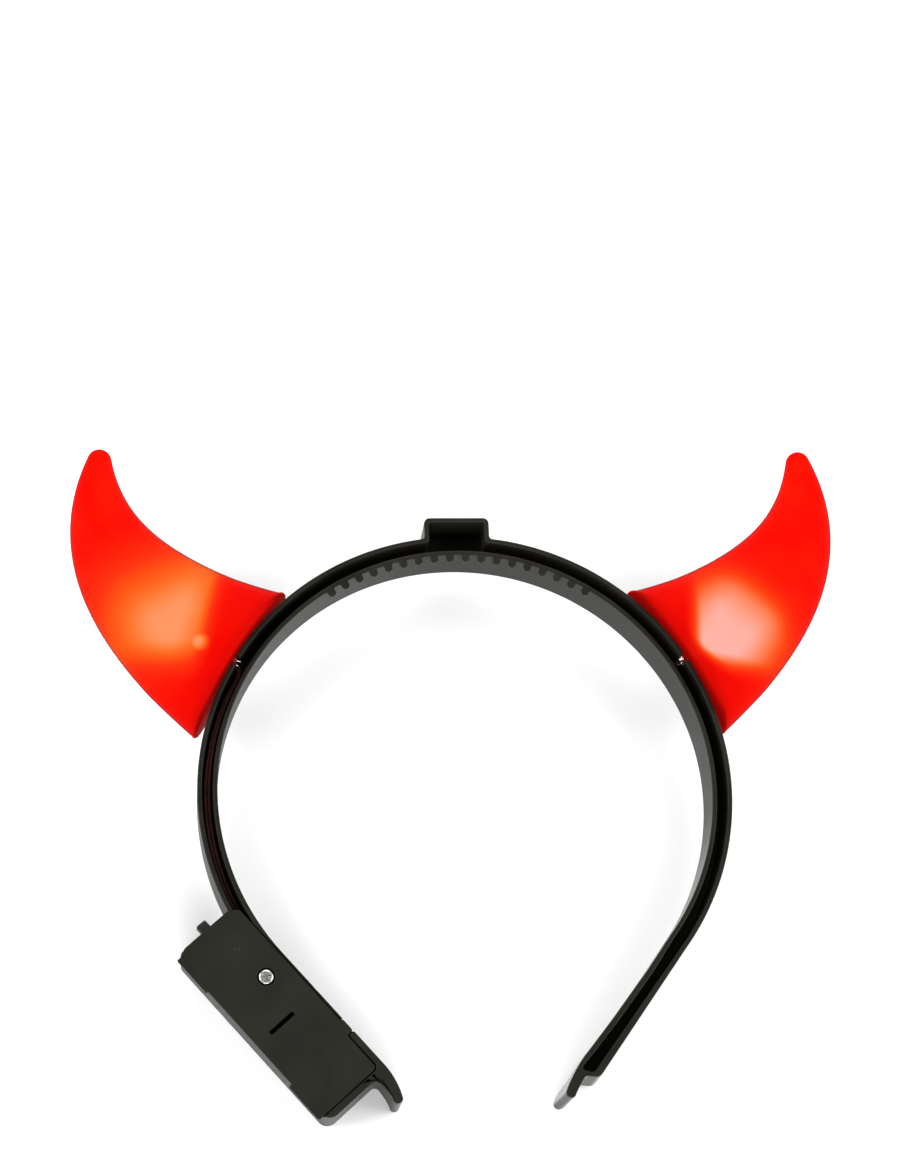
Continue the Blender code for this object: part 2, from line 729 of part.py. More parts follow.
def make_horn(side, parts):
    """Hollow horn: one open skin from the lamp hole to the tip, thickened inwards."""
    rings, pole = horn_rings()
    shape = bmesh.new()
    loops = [[shape.verts.new(horn_place(side, *point)) for point in ring] for ring in rings]
    for lower, upper in zip(loops[:-1], loops[1:]):
        for index in range(HORN_SIDES):
            following = (index + 1) % HORN_SIDES
            shape.faces.new((lower[index], lower[following], upper[following], upper[index]))
    top = shape.verts.new(horn_place(side, *pole))
    for index in range(HORN_SIDES):
        shape.faces.new((loops[-1][index], loops[-1][(index + 1) % HORN_SIDES], top))
    if side == "left":
        bmesh.ops.reverse_faces(shape, faces=shape.faces)
    mesh = bpy.data.meshes.new(f"horn_{side}")
    shape.to_mesh(mesh)
    shape.free()
    horn = bpy.data.objects.new(f"horn_{side}", mesh)
    wall = horn.modifiers.new("wall", "SOLIDIFY")
    wall.thickness = HORN_WALL
    wall.offset = -1.0
    wall.use_even_offset = True
    return finish(horn, parts, "red_plastic", 50)


def make_lamp(side, parts):
    """Lamp with a round head, on a collar, pointing up its horn."""
    profile = [(0.0, LAMP_HEIGHT)]
    for degrees in (30.0, 60.0, 90.0):
        angle = math.radians(degrees)
        height = LAMP_HEIGHT - LAMP_RADIUS * (1.0 - math.cos(angle))
        profile.append((LAMP_RADIUS * math.sin(angle), height))
    profile += [
        (LAMP_RADIUS, LAMP_FOOT + LAMP_COLLAR_HEIGHT),
        (LAMP_COLLAR_RADIUS, LAMP_FOOT + LAMP_COLLAR_HEIGHT),
        (LAMP_COLLAR_RADIUS, LAMP_FOOT),
        (0.0, LAMP_FOOT),
    ]
    lamp = turned(f"led_{side}", profile)
    lamp.location = horn_place(side, 0.0, LAMP_OFFSET, 0.0)
    sign = LEGS[side][0]
    lamp.rotation_euler = (-math.pi / 2, 0.0, -sign * HORN_ANGLE)
    return finish(lamp, parts, "lamp_plastic", 40)


def wire_route(side):
    """Points of a lead from inside the case, along the channel and out through its horn's notch."""
    sign = LEGS[side][0]
    lane_height = WIRE_RISE[side]
    points = [(*leg_point("left", WIRE_START_ALONG, WIRE_START_OUT), lane_height)]
    start = leg_angle("left") + WIRE_LANE_START
    stop = sign * NOTCH_ANGLE - WIRE_TURN
    count = round((stop - start) / WIRE_STEP)
    rise_from = stop - math.radians(60.0)
    for index in range(count + 1):
        angle = start + (stop - start) * index / count
        part = min(1.0, max(0.0, (angle - rise_from) / (stop - rise_from)))
        ease = part * part * (3.0 - 2.0 * part)
        height = lane_height + (WIRE_NOTCH_HEIGHT - lane_height) * ease
        points.append((*ring_point(angle, WIRE_LANE), height))
    notch = sign * NOTCH_ANGLE
    points.append((*ring_point(notch - WIRE_TURN * 0.45, WIRE_LANE + 0.0002), WIRE_NOTCH_HEIGHT))
    points.append((*ring_point(notch - WIRE_TURN * 0.10, WIRE_LANE + 0.0009), WIRE_NOTCH_HEIGHT))
    points.append((*ring_point(notch, WIRE_LANE + 0.0020), WIRE_NOTCH_HEIGHT))
    points.append((*ring_point(notch, RING_RADIUS + LAMP_FOOT - GAP), WIRE_NOTCH_HEIGHT))
    return points


def make_wire(side, parts):
    """Lead of one lamp, a plain round wire."""
    curve = bpy.data.curves.new(f"wire_{side}", "CURVE")
    curve.dimensions = "3D"
    curve.bevel_depth = WIRE_RADIUS
    curve.bevel_resolution = WIRE_SIDES_RESOLUTION
    curve.use_fill_caps = True
    spline = curve.splines.new("POLY")
    route = wire_route(side)
    spline.points.add(len(route) - 1)
    for point, place in zip(spline.points, route):
        point.co = (*place, 1.0)
    return finish(as_mesh(curve), parts, "wire_plastic", 50)


def world_points(objects):
    """Every point of the finished pieces as they stand, in one array."""
    bpy.context.view_layer.update()
    graph = bpy.context.evaluated_depsgraph_get()
    found = []
    for obj in objects:
        evaluated = obj.evaluated_get(graph)
        mesh = evaluated.to_mesh()
        points = np.empty(len(mesh.vertices) * 3, np.float32)
        mesh.vertices.foreach_get("co", points)
        place = np.array(evaluated.matrix_world)
        found.append(points.reshape(-1, 3).astype(float) @ place[:3, :3].T + place[:3, 3])
        evaluated.to_mesh_clear()
    return np.concatenate(found)


def lay_down(parts, cutters):
    """Tilts and centres the whole object, cutters too, through one empty, so that it rests at z = 0."""
    pieces = list(parts.objects)
    points = world_points(pieces)
    back = points[points[:, 2] < 1e-5]
    heel = back[back[:, 1].argmin()]
    ahead = points[points[:, 1] > 0.0]
    slopes = np.arctan2(heel[2] - ahead[:, 2], ahead[:, 1] - heel[1])
    tilt = float(slopes.max())
    turned_y = points[:, 1] * math.cos(tilt) - points[:, 2] * math.sin(tilt)
    turned_z = points[:, 1] * math.sin(tilt) + points[:, 2] * math.cos(tilt)
    base = bpy.data.objects.new("lying_pose", None)
    parts.objects.link(base)
    base.rotation_euler = (tilt, 0.0, 0.0)
    base.location = (
        -float(points[:, 0].min() + points[:, 0].max()) / 2,
        -float(turned_y.min() + turned_y.max()) / 2,
        -float(turned_z.min()),
    )
    for obj in [*pieces, *cutters.objects]:
        obj.parent = base


def main():
    clear_scene()
    parts = new_collection(COLLECTION)
    cutters = new_collection(COLLECTION + "_cutters", hidden=True)
    make_headband(parts, cutters)
    make_lid(parts, cutters)
    make_screw(parts, cutters)
    make_knob(parts)
    for side in LEGS:
        make_horn(side, parts)
        make_lamp(side, parts)
        make_wire(side, parts)
    lay_down(parts, cutters)


if __name__ == "__main__":
    main()
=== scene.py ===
"""Dresses the devil horns headband: black band with its battery case, lit red horns, switch and wiring.

All sizes are in metres. Pieces are worked out in the band's own frame, in which the ring lies flat about
its centre, +Y points to the top of the head and the open rim faces +Z. LyingPose then takes them to the
shared frame.
"""

import logging
import math
from collections.abc import Sequence
from dataclasses import dataclass, field
from enum import Enum

import bpy
import numpy as np
from mathutils import Matrix

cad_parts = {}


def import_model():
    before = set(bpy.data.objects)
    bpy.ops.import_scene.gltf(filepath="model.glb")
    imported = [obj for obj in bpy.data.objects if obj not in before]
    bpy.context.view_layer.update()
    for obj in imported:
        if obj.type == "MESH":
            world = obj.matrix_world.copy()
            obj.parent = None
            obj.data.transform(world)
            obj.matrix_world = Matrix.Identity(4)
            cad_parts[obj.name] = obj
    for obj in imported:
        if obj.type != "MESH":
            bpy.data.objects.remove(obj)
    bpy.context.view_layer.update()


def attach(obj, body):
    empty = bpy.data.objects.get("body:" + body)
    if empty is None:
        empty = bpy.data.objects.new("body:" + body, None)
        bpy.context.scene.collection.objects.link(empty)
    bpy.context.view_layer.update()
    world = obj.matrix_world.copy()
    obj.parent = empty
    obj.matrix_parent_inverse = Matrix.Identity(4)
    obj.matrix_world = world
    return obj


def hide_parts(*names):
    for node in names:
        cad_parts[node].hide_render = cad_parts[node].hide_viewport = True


log = logging.getLogger("headband")

Array = np.ndarray
Pair = tuple[float, float]
Triple = tuple[float, float, float]
Socket = bpy.types.NodeSocket
Tree = bpy.types.NodeTree

BODY = "headband"
SWITCH_BODY = "switch"
# How far short of its end a resampled stretch stops, so that it never meets the next one in the same point
SEAM = 0.00002
# Radius at which the ends of a turned profile are closed
POLE = 0.00002
# Width of the strip that keeps a flat face evenly shaded beside its rounded edge
HOLD = 0.00008
# Angle in degrees above which an edge stays sharp
SHARP = 40.0
# Angle between the points of a rounded corner
CORNER_STEP = math.radians(9.0)
# The least that a sharp corner's move is divided by
MITER_FLOOR = 0.45
# Nearly upwards, so that no stretch of wire runs along it
NEARLY_UP = (0.02, 0.03, 1.0)


class Side(Enum):
    """Which side of the head a piece is on, as the sign of x."""

    LEFT = -1
    RIGHT = 1

    @property
    def label(self) -> str:
        """Lower-case name for piece names."""
        return self.name.lower()


class Slot(Enum):
    """Material slots of the record."""

    BLACK = "black_plastic"
    DARK = "dark_plastic"
    RED = "red_plastic"
    STEEL = "steel"
    LAMP = "lamp_plastic"
    WIRE = "wire_plastic"


@dataclass(frozen=True)
class LyingPose:
    """Tilt and shift that lay the headband on its horns and on the lower corner of its battery case."""

    tilt: float = 0.0757859
    shift: Triple = (0.0, -0.0056369, 0.0066586)

    def turn(self) -> Array:
        """Rotation about X as a 3 by 3 matrix."""
        cosine, sine = math.cos(self.tilt), math.sin(self.tilt)
        return np.array([[1.0, 0.0, 0.0], [0.0, cosine, -sine], [0.0, sine, cosine]])

    def place(self, points: Array) -> Array:
        """Takes points (..., 3) of the band's frame to the shared frame: turned about X, then shifted."""
        return points @ self.turn().T + np.array(self.shift)


@dataclass(frozen=True)
class Ring:
    """Sizes of the band that its pieces share, in the band's frame.

    The angles are from the top, to the middle of each wire notch and to each horn's middle line. The saddle
    is the radius of the horns' curved base.
    """

    outside: float = 0.0728
    inside: float = 0.0673
    wall: float = 0.0013
    rim: float = 0.0146
    middle: float = 0.0073
    notch: float = math.radians(59.2)
    horn: float = math.radians(57.9)
    saddle: float = 0.126

    @property
    def channel_out(self) -> float:
        """Radius of the channel's outer side."""
        return self.outside - self.wall

    @property
    def channel_in(self) -> float:
        """Radius of the channel's inner side."""
        return self.inside + self.wall


POSE = LyingPose()
RING = Ring()


# Outlines


def ring_points(radius: float | Array, angles: Array) -> Array:
    """Points of the ring's plane at angles from the top, positive to the right: (r sin a, r cos a)."""
    return np.stack([radius * np.sin(angles), radius * np.cos(angles)], axis=-1)


def arc(radius: float, start: float, end: float, count: int = 240) -> Array:
    """Evenly spaced points along the ring from one angle to another."""
    return ring_points(radius, np.linspace(start, end, count))


def rounded(corners: Sequence[Triple], closed: bool = False) -> Array:
    """Polyline through corners, each replaced by an arc of its own radius.

    The arc's centre lies on the corner's bisector, at radius / sin(half angle) from the corner.

    Args:
        corners: rows of (x, y, rounding).
        closed: whether the last corner joins the first one.

    Returns:
        Array (n, 2) of the points in order.
    """
    rows = np.array(corners, float)
    pieces = []
    for index, (x, y, rounding) in enumerate(rows):
        here = np.array((x, y))
        end = not closed and index in (0, len(rows) - 1)
        if end or rounding <= 0.0:
            pieces.append(here[None])
            continue
        before = rows[index - 1, :2] - here
        after = rows[(index + 1) % len(rows), :2] - here
        before = before / np.linalg.norm(before)
        after = after / np.linalg.norm(after)
        half = math.acos(float(np.clip(before @ after, -1.0, 1.0))) / 2
        middle = before + after
        centre = here + middle / np.linalg.norm(middle) * rounding / math.sin(half)
        first = here + before * rounding / math.tan(half) - centre
        last = here + after * rounding / math.tan(half) - centre
        sweep = math.pi - 2 * half
        part = np.linspace(0.0, 1.0, max(3, round(sweep / CORNER_STEP)))[:, None]
        weights = np.sin((1 - part) * sweep), np.sin(part * sweep)
        pieces.append(centre + (first * weights[0] + last * weights[1]) / math.sin(sweep))
    return np.concatenate(pieces)


def spaced(path: Array, count: int) -> Array:
    """Resamples a polyline evenly by its length, ending just short of its end.

    Args:
        path: array (n, 2) or (n, 3).
        count: number of points wanted.

    Returns:
        Array (count, 2 or 3): path(s) at s = k (length - seam) / (count - 1).
    """
    steps = np.linalg.norm(np.diff(path, axis=0), axis=1)
    lengths = np.concatenate([[0.0], np.cumsum(steps)])
    wanted = np.linspace(0.0, lengths[-1] - SEAM, count)
    return np.stack([np.interp(wanted, lengths, column) for column in path.T], axis=1)


def widened(outline: Array, amount: float | Array) -> Array:
    """Moves a closed anticlockwise outline outwards, or inwards for a negative amount.

    Each point moves along m = (n1 + n2) / (1 + n1.n2), where n1 and n2 are the normals of the edges beside
    it, so that both edges stay parallel to themselves.

    Args:
        outline: array (n, 2).
        amount: distance for all points, or one for each.

    Returns:
        Array (n, 2).
    """
    edges = np.roll(outline, -1, axis=0) - outline
    edges /= np.maximum(np.linalg.norm(edges, axis=1, keepdims=True), 1e-9)
    normals = np.stack([edges[:, 1], -edges[:, 0]], axis=1)
    before = np.roll(normals, 1, axis=0)
    share = 1.0 + np.sum(before * normals, axis=1, keepdims=True)
    miter = (before + normals) / np.maximum(share, MITER_FLOOR)
    return outline + miter * np.reshape(amount, (-1, 1))


def smooth_step(value: Array) -> Array:
    """0 below 0, 1 above 1, and 3t^2 - 2t^3 between."""
    part = np.clip(value, 0.0, 1.0)
    return part * part * (3.0 - 2.0 * part)


def lifted(outline: Array, height: float | Array) -> Array:
    """Outline (n, 2) with a height for each point, as (n, 3)."""
    heights = np.broadcast_to(height, (len(outline),))
    return np.concatenate([outline, heights[:, None]], axis=1)


# Meshes


def placed(name: str, data: bpy.types.ID) -> bpy.types.Object:
    """New object in the scene, at the origin."""
    obj = bpy.data.objects.new(name, data)
    bpy.context.scene.collection.objects.link(obj)
    return obj


def skin(
    name: str,
    stacks: Array,
    start_cap: bool = True,
    end_cap: bool = True,
    sharp: float = SHARP,
) -> bpy.types.Object:
    """Mesh object of one or more skins, each through a stack of closed loops of equal length.

    The face (i, j) of a skin joins points j and j + 1 of loops i and i + 1. A cap is one face on an end
    loop.

    Args:
        name: name of the piece.
        stacks: array (skins, loops, points, 3) in the shared frame.
        start_cap: closes the first loop.
        end_cap: closes the last loop.
        sharp: angle in degrees above which an edge stays sharp.

    Returns:
        The object, at the origin, with its faces outwards.
    """
    copies, loops, around, _ = stacks.shape
    index = np.arange(loops * around).reshape(loops, around)
    following = np.roll(index, -1, axis=1)
    quads = np.stack([index[:-1], following[:-1], following[1:], index[1:]], axis=-1).reshape(-1, 4)
    offsets = np.arange(copies) * loops * around
    faces = (quads[None] + offsets[:, None, None]).reshape(-1, 4).tolist()
    if start_cap:
        faces += (index[0][::-1][None] + offsets[:, None]).tolist()
    if end_cap:
        faces += (index[-1][None] + offsets[:, None]).tolist()
    mesh = bpy.data.meshes.new(name)
    mesh.from_pydata(stacks.reshape(-1, 3).tolist(), [], faces)
    mesh.validate()
    if signed_volume(mesh) < 0.0:
        mesh.flip_normals()
    mesh.shade_smooth()
    mesh.set_sharp_from_angle(angle=math.radians(sharp))
    return placed(name, mesh)


def signed_volume(mesh: bpy.types.Mesh) -> float:
    """Volume inside a mesh: the sum of a . (b x c) / 6 over its triangles.

    Args:
        mesh: the mesh.

    Returns:
        The volume, which is negative when the faces point inwards.
    """
    mesh.calc_loop_triangles()
    points = np.empty(len(mesh.vertices) * 3, np.float32)
    mesh.vertices.foreach_get("co", points)
    corners = np.empty(len(mesh.loop_triangles) * 3, np.int32)
    mesh.loop_triangles.foreach_get("vertices", corners)
    a, b, c = points.reshape(-1, 3)[corners.reshape(-1, 3)].astype(float).transpose(1, 0, 2)
    return float(np.einsum("ij,ij->i", a, np.cross(b, c)).sum() / 6.0)


def smoothed(points: Array, spacing: float) -> Array:
    """Cubic through points, resampled evenly, with slopes taken from the points beside each one.

    Args:
        points: array (n, 3).
        spacing: distance wanted between the new points.

    Returns:
        Array (m, 3) of p0 (2t^3 - 3t^2 + 1) + m0 (t^3 - 2t^2 + t) + p1 (3t^2 - 2t^3) + m1 (t^3 - t^2).
    """
    lengths = np.concatenate([[0.0], np.cumsum(np.linalg.norm(np.diff(points, axis=0), axis=1))])
    slopes = np.gradient(points, lengths, axis=0)
    wanted = np.linspace(0.0, lengths[-1], max(12, round(lengths[-1] / spacing)))
    start = np.clip(np.searchsorted(lengths, wanted, side="right") - 1, 0, len(points) - 2)
    span = (lengths[start + 1] - lengths[start])[:, None]
    part = (wanted - lengths[start])[:, None] / span
    square, cube = part**2, part**3
    return (
        points[start] * (2 * cube - 3 * square + 1)
        + slopes[start] * span * (cube - 2 * square + part)
        + points[start + 1] * (3 * square - 2 * cube)
        + slopes[start + 1] * span * (cube - square)
    )


def frames(line: Array) -> tuple[Array, Array]:
    """Two directions square to a line at each of its points: tangent x up, and that x tangent.

    Args:
        line: array (n, 3).

    Returns:
        Both directions, each as (n, 3).
    """
    tangent = np.gradient(line, axis=0)
    tangent /= np.linalg.norm(tangent, axis=1, keepdims=True)
    side = np.cross(tangent, np.array(NEARLY_UP))
    side /= np.linalg.norm(side, axis=1, keepdims=True)
    return side, np.cross(side, tangent)


def tube(line: Array, radius: float | Array, around: int = 14) -> Array:
    """Loops of a round tube: centre + r (cos a side + sin a up).

    Args:
        line: middle line, as (n, 3).
        radius: radius of the tube, or one for each point.
        around: number of points in a loop.

    Returns:
        Array (n, around, 3).
    """
    side, up = frames(line)
    turn = np.linspace(0.0, 2 * math.pi, around, endpoint=False)
    ring = np.cos(turn)[None, :, None] * side[:, None] + np.sin(turn)[None, :, None] * up[:, None]
    return line[:, None] + ring * np.reshape(radius, (-1, 1, 1))


def edge_arc(radius: float, steps: int = 4) -> tuple[Array, Array]:
    """Quarter round as (distance in from the side, distance below the top), from the side up to the top."""
    angles = np.linspace(0.0, math.pi / 2, steps + 1)
    return radius * (1.0 - np.cos(angles)), radius * (1.0 - np.sin(angles))


def slab(outline: Array, low: float, high: float, low_round: float, high_round: float) -> Array:
    """Loops of a plate with rounded edges, from its lower face up its side to its upper face.

    Args:
        outline: closed anticlockwise outline (n, 2).
        low: height of the lower face.
        high: height of the upper face.
        low_round: rounding of the lower edge.
        high_round: rounding of the upper edge.

    Returns:
        Array (1, loops, n, 3) in the band's frame.
    """
    low_in, low_up = edge_arc(low_round)
    high_in, high_down = edge_arc(high_round)
    loops = [lifted(widened(outline, -low_in[-1] - HOLD), low)]
    loops += [lifted(widened(outline, -i), low + u) for i, u in zip(low_in[::-1], low_up[::-1])]
    loops += [lifted(widened(outline, -i), high - d) for i, d in zip(high_in, high_down)]
    loops.append(lifted(widened(outline, -high_in[-1] - HOLD), high))
    return np.stack(loops)[None]


def turned(profile: Array, around: int = 64) -> Array:
    """Loops of a turned body about Z: (r cos a, r sin a, h).

    Args:
        profile: rows (r, h), as (n, 2).
        around: number of points in a loop.

    Returns:
        Array (1, n, around, 3).
    """
    angles = np.linspace(0.0, 2 * math.pi, around, endpoint=False)
    radius, height = profile[:, :1], profile[:, 1:]
    flat = np.broadcast_to(height, (len(profile), around))
    return np.stack([radius * np.cos(angles), radius * np.sin(angles), flat], axis=-1)[None]


def carve(obj: bpy.types.Object, cutters: Sequence[bpy.types.Object]) -> None:
    """Cuts the cutters out of a piece for good, and removes them.

    The edges of large flat faces are kept sharp, so that they are shaded evenly up to their openings.

    Args:
        obj: the piece.
        cutters: closed pieces.
    """
    for cutter in cutters:
        modifier = obj.modifiers.new(cutter.name, "BOOLEAN")
        modifier.operation = "DIFFERENCE"
        modifier.solver = "EXACT"
        modifier.object = cutter
    bpy.context.view_layer.update()
    graph = bpy.context.evaluated_depsgraph_get()
    mesh = bpy.data.meshes.new_from_object(obj.evaluated_get(graph))
    obj.modifiers.clear()
    old, obj.data = obj.data, mesh
    mesh.name = obj.name
    bpy.data.meshes.remove(old)
    for cutter in cutters:
        bpy.data.objects.remove(cutter, do_unlink=True)
    mesh.shade_smooth()
    mesh.set_sharp_from_angle(angle=math.radians(SHARP))
    flatten_large_faces(mesh)


def flatten_large_faces(mesh: bpy.types.Mesh, area: float = 4e-6) -> None:
    """Marks the edges of large faces as sharp, so that long flat faces get one normal each.

    Args:
        mesh: the mesh.
        area: the area above which a face is large, in square metres.
    """
    areas = np.empty(len(mesh.polygons), np.float32)
    mesh.polygons.foreach_get("area", areas)
    edges = np.empty(len(mesh.loops), np.int32)
    mesh.loops.foreach_get("edge_index", edges)
    totals = np.empty(len(mesh.polygons), np.int32)
    mesh.polygons.foreach_get("loop_total", totals)
    sharp = np.zeros(len(mesh.edges), bool)
    found = mesh.attributes.get("sharp_edge")
    if found:
        found.data.foreach_get("value", sharp)
    else:
        found = mesh.attributes.new("sharp_edge", "BOOLEAN", "EDGE")
    sharp[edges[np.repeat(areas > area, totals)]] = True
    found.data.foreach_set("value", sharp)


def hand_over(
    obj: bpy.types.Object,
    material: bpy.types.Material,
    body: str = BODY,
    nodes: Sequence[str] = (),
    flat_faces: bool = False,
) -> bpy.types.Object:
    """Gives a finished piece its material and the body it rides on.

    Args:
        obj: the piece.
        material: its only material.
        body: the body that it moves with.
        nodes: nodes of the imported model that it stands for.
        flat_faces: keeps large flat faces evenly shaded beside their rounded edges.

    Returns:
        The same piece.
    """
    obj.data.materials.clear()
    obj.data.materials.append(material)
    if flat_faces:
        even = obj.modifiers.new("even_normals", "WEIGHTED_NORMAL")
        even.keep_sharp = True
        even.weight = 100
    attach(obj, body)
    if nodes:
        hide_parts(*nodes)
    log.info("%s: %d faces, on %s", obj.name, len(obj.data.polygons), body)
    return obj


# Material nodes


def fill(node: bpy.types.Node, values: dict[str | int, object]) -> bpy.types.Node:
    """Fills inputs of a node: an output of another node is linked, and a number or colour is set.

    Args:
        node: the node.
        values: what goes into each input, by the input's name or number.

    Returns:
        The same node.
    """
    for key, value in values.items():
        if isinstance(value, Socket):
            node.id_data.links.new(value, node.inputs[key])
        else:
            node.inputs[key].default_value = value
    return node


def object_place(tree: Tree) -> Socket:
    """Object coordinates, in metres of the shared frame."""
    return tree.nodes.new("ShaderNodeTexCoord").outputs["Object"]


def mapped(
    tree: Tree, value: Socket, source: Pair, target: Pair = (0.0, 1.0), smooth: bool = False
) -> Socket:
    """Map Range node: t = (value - low) / (high - low), held between 0 and 1, then taken to the target.

    Args:
        tree: the material's node tree.
        value: what is mapped.
        source: the values at which t is 0 and 1.
        target: what comes out where t is 0 and 1.
        smooth: takes smooth_step of t.

    Returns:
        The result.
    """
    node = tree.nodes.new("ShaderNodeMapRange")
    if smooth:
        node.interpolation_type = "SMOOTHSTEP"
    limits = {"From Min": source[0], "From Max": source[1], "To Min": target[0], "To Max": target[1]}
    return fill(node, {"Value": value, **limits}).outputs["Result"]


def combined(tree: Tree, operation: str, first: Socket, second: Socket | float = 0.0) -> Socket:
    """Math node.

    Args:
        tree: the material's node tree.
        operation: what it works out.
        first: its first number.
        second: its second number, where the operation takes one.

    Returns:
        The result.
    """
    node = tree.nodes.new("ShaderNodeMath")
    node.operation = operation
    return fill(node, {0: first, 1: second}).outputs[0]


def vector_math(tree: Tree, operation: str, first: Socket, second: Triple = (0.0, 0.0, 0.0)) -> Socket:
    """Vector Math node.

    Args:
        tree: the material's node tree.
        operation: what it works out.
        first: its first vector.
        second: its second vector, where the operation takes one.

    Returns:
        The result: a number for a dot product or a length, and otherwise a vector.
    """
    node = tree.nodes.new("ShaderNodeVectorMath")
    node.operation = operation
    single = operation in ("DOT_PRODUCT", "LENGTH")
    return fill(node, {0: first, 1: second}).outputs["Value" if single else "Vector"]


def noise(
    tree: Tree, place: Socket, scale: Socket | float, detail: float = 2.0, distortion: float = 0.0
) -> Socket:
    """Noise texture.

    Args:
        tree: the material's node tree.
        place: its coordinates.
        scale: how many waves it has in a metre.
        detail: how many finer layers lie on it.
        distortion: how much it is warped.

    Returns:
        The noise, about 0.5.
    """
    node = tree.nodes.new("ShaderNodeTexNoise")
    values = {"Vector": place, "Scale": scale, "Detail": detail, "Distortion": distortion}
    return fill(node, values).outputs["Fac"]


def ramp(tree: Tree, value: Socket, stops: Sequence[tuple[float, Triple]]) -> Socket:
    """Colour ramp.

    Args:
        tree: the material's node tree.
        value: the place on the ramp, from 0 to 1.
        stops: rows of (place, colour).

    Returns:
        The colour.
    """
    node = tree.nodes.new("ShaderNodeValToRGB")
    elements = node.color_ramp.elements
    while len(elements) < len(stops):
        elements.new(0.5)
    for element, (position, colour) in zip(elements, stops):
        element.position = position
        element.color = (*colour, 1.0)
    return fill(node, {"Fac": value}).outputs["Color"]


def mixed(tree: Tree, share: Socket, under: Socket, over: Socket | Triple) -> Socket:
    """Mix node on two colours: under (1 - share) + over share.

    Args:
        tree: the material's node tree.
        share: how much of the upper colour shows.
        under: the lower colour.
        over: the upper colour, which may be the same all over.

    Returns:
        The colour.
    """
    node = tree.nodes.new("ShaderNodeMix")
    node.data_type = "RGBA"
    top = over if isinstance(over, Socket) else (*over, 1.0)
    return fill(node, {"Factor": share, "A": under, "B": top}).outputs["Result"]


def bumped(tree: Tree, height: Socket, strength: float, distance: float) -> Socket:
    """Bump node: the normal of a relief whose height 1 stands for a distance in metres."""
    node = tree.nodes.new("ShaderNodeBump")
    return fill(node, {"Height": height, "Strength": strength, "Distance": distance}).outputs["Normal"]


def fresh_material(name: str) -> tuple[bpy.types.Material, bpy.types.Node]:
    """New node material, with its Principled shader."""
    material = bpy.data.materials.new(name)
    material.use_nodes = True
    return material, material.node_tree.nodes["Principled BSDF"]


def grain_group() -> Tree:
    """Node group of moulded plastic: fine grain, soft flow marks and scattered dust, on Object coordinates.

    Wall is 1 on upright faces and 0 on level ones. Leg runs from 0 to 1 at the end of the right leg, and
    stays lower on the faces that look along it.

    Returns:
        The group, with inputs Grain Scale, Flow Scale and Dust Scale, and outputs Height, Cloud, Dust, Wall
        and Leg.
    """
    found = bpy.data.node_groups.get("moulded_grain")
    if found:
        return found
    group = bpy.data.node_groups.new("moulded_grain", "ShaderNodeTree")
    for label, value in (("Grain Scale", 3200.0), ("Flow Scale", 60.0), ("Dust Scale", 420.0)):
        entry = group.interface.new_socket(label, in_out="INPUT", socket_type="NodeSocketFloat")
        entry.default_value = value
    for label in ("Height", "Cloud", "Dust", "Wall", "Leg"):
        group.interface.new_socket(label, in_out="OUTPUT", socket_type="NodeSocketFloat")
    scales = group.nodes.new("NodeGroupInput")
    source = group.nodes.new("ShaderNodeTexCoord")
    place, normal = source.outputs["Object"], source.outputs["Normal"]
    flow = noise(group, place, scales.outputs["Flow Scale"], detail=5.0, distortion=0.6)
    cells = group.nodes.new("ShaderNodeTexVoronoi")
    fill(cells, {"Vector": place, "Scale": scales.outputs["Dust Scale"], "Randomness": 1.0})
    specks = mapped(group, cells.outputs["Distance"], (0.10, 0.03))
    sparse = mapped(group, flow, (0.62, 0.70))
    parts = fill(group.nodes.new("ShaderNodeSeparateXYZ"), {"Vector": normal})
    level = combined(group, "ABSOLUTE", parts.outputs["Z"])
    down_right = vector_math(group, "DOT_PRODUCT", place, (0.6, -0.8, 0.0))
    leg = mapped(group, down_right, (0.050, 0.078))
    up_leg = vector_math(group, "DOT_PRODUCT", normal, (0.6, 0.8, 0.0))
    beside = mapped(group, up_leg, (-0.9, -0.3), (0.15, 1.0))
    values = {
        "Height": noise(group, place, scales.outputs["Grain Scale"], detail=3.0),
        "Cloud": flow,
        "Dust": combined(group, "MULTIPLY", specks, sparse),
        "Wall": mapped(group, level, (0.80, 0.35)),
        "Leg": combined(group, "MULTIPLY", leg, beside),
    }
    fill(group.nodes.new("NodeGroupOutput"), values)
    return group


def grain_node(tree: Tree, grain: float, flow: float, dust: float) -> bpy.types.Node:
    """Places the grain group in a material, with scales of its own.

    Args:
        tree: node tree of the material.
        grain: scale of the fine grain.
        flow: scale of the flow marks.
        dust: scale of the dust.

    Returns:
        The node that holds the group.
    """
    node = tree.nodes.new("ShaderNodeGroup")
    node.node_tree = grain_group()
    return fill(node, {"Grain Scale": grain, "Flow Scale": flow, "Dust Scale": dust})


def band_coordinates(tree: Tree) -> Socket:
    """Object coordinates turned back into the band's own frame: R^-1 (p - shift) = R^-1 p - R^-1 shift.

    Args:
        tree: node tree of the material.

    Returns:
        The coordinates, in metres.
    """
    shift = POSE.turn().T @ np.array(POSE.shift)
    values = {
        "Vector": object_place(tree),
        "Rotation": (-POSE.tilt, 0.0, 0.0),
        "Location": tuple(float(c) for c in -shift),
    }
    return fill(tree.nodes.new("ShaderNodeMapping"), values).outputs["Vector"]


def plan_distance(tree: Tree, place: Socket, centre: Triple) -> Socket:
    """Distance from an upright line through a centre: the length of (x - centre x, y - centre y, 0)."""
    shift = vector_math(tree, "SUBTRACT", place, centre)
    return vector_math(tree, "LENGTH", vector_math(tree, "MULTIPLY", shift, (1.0, 1.0, 0.0)))


# Finishes


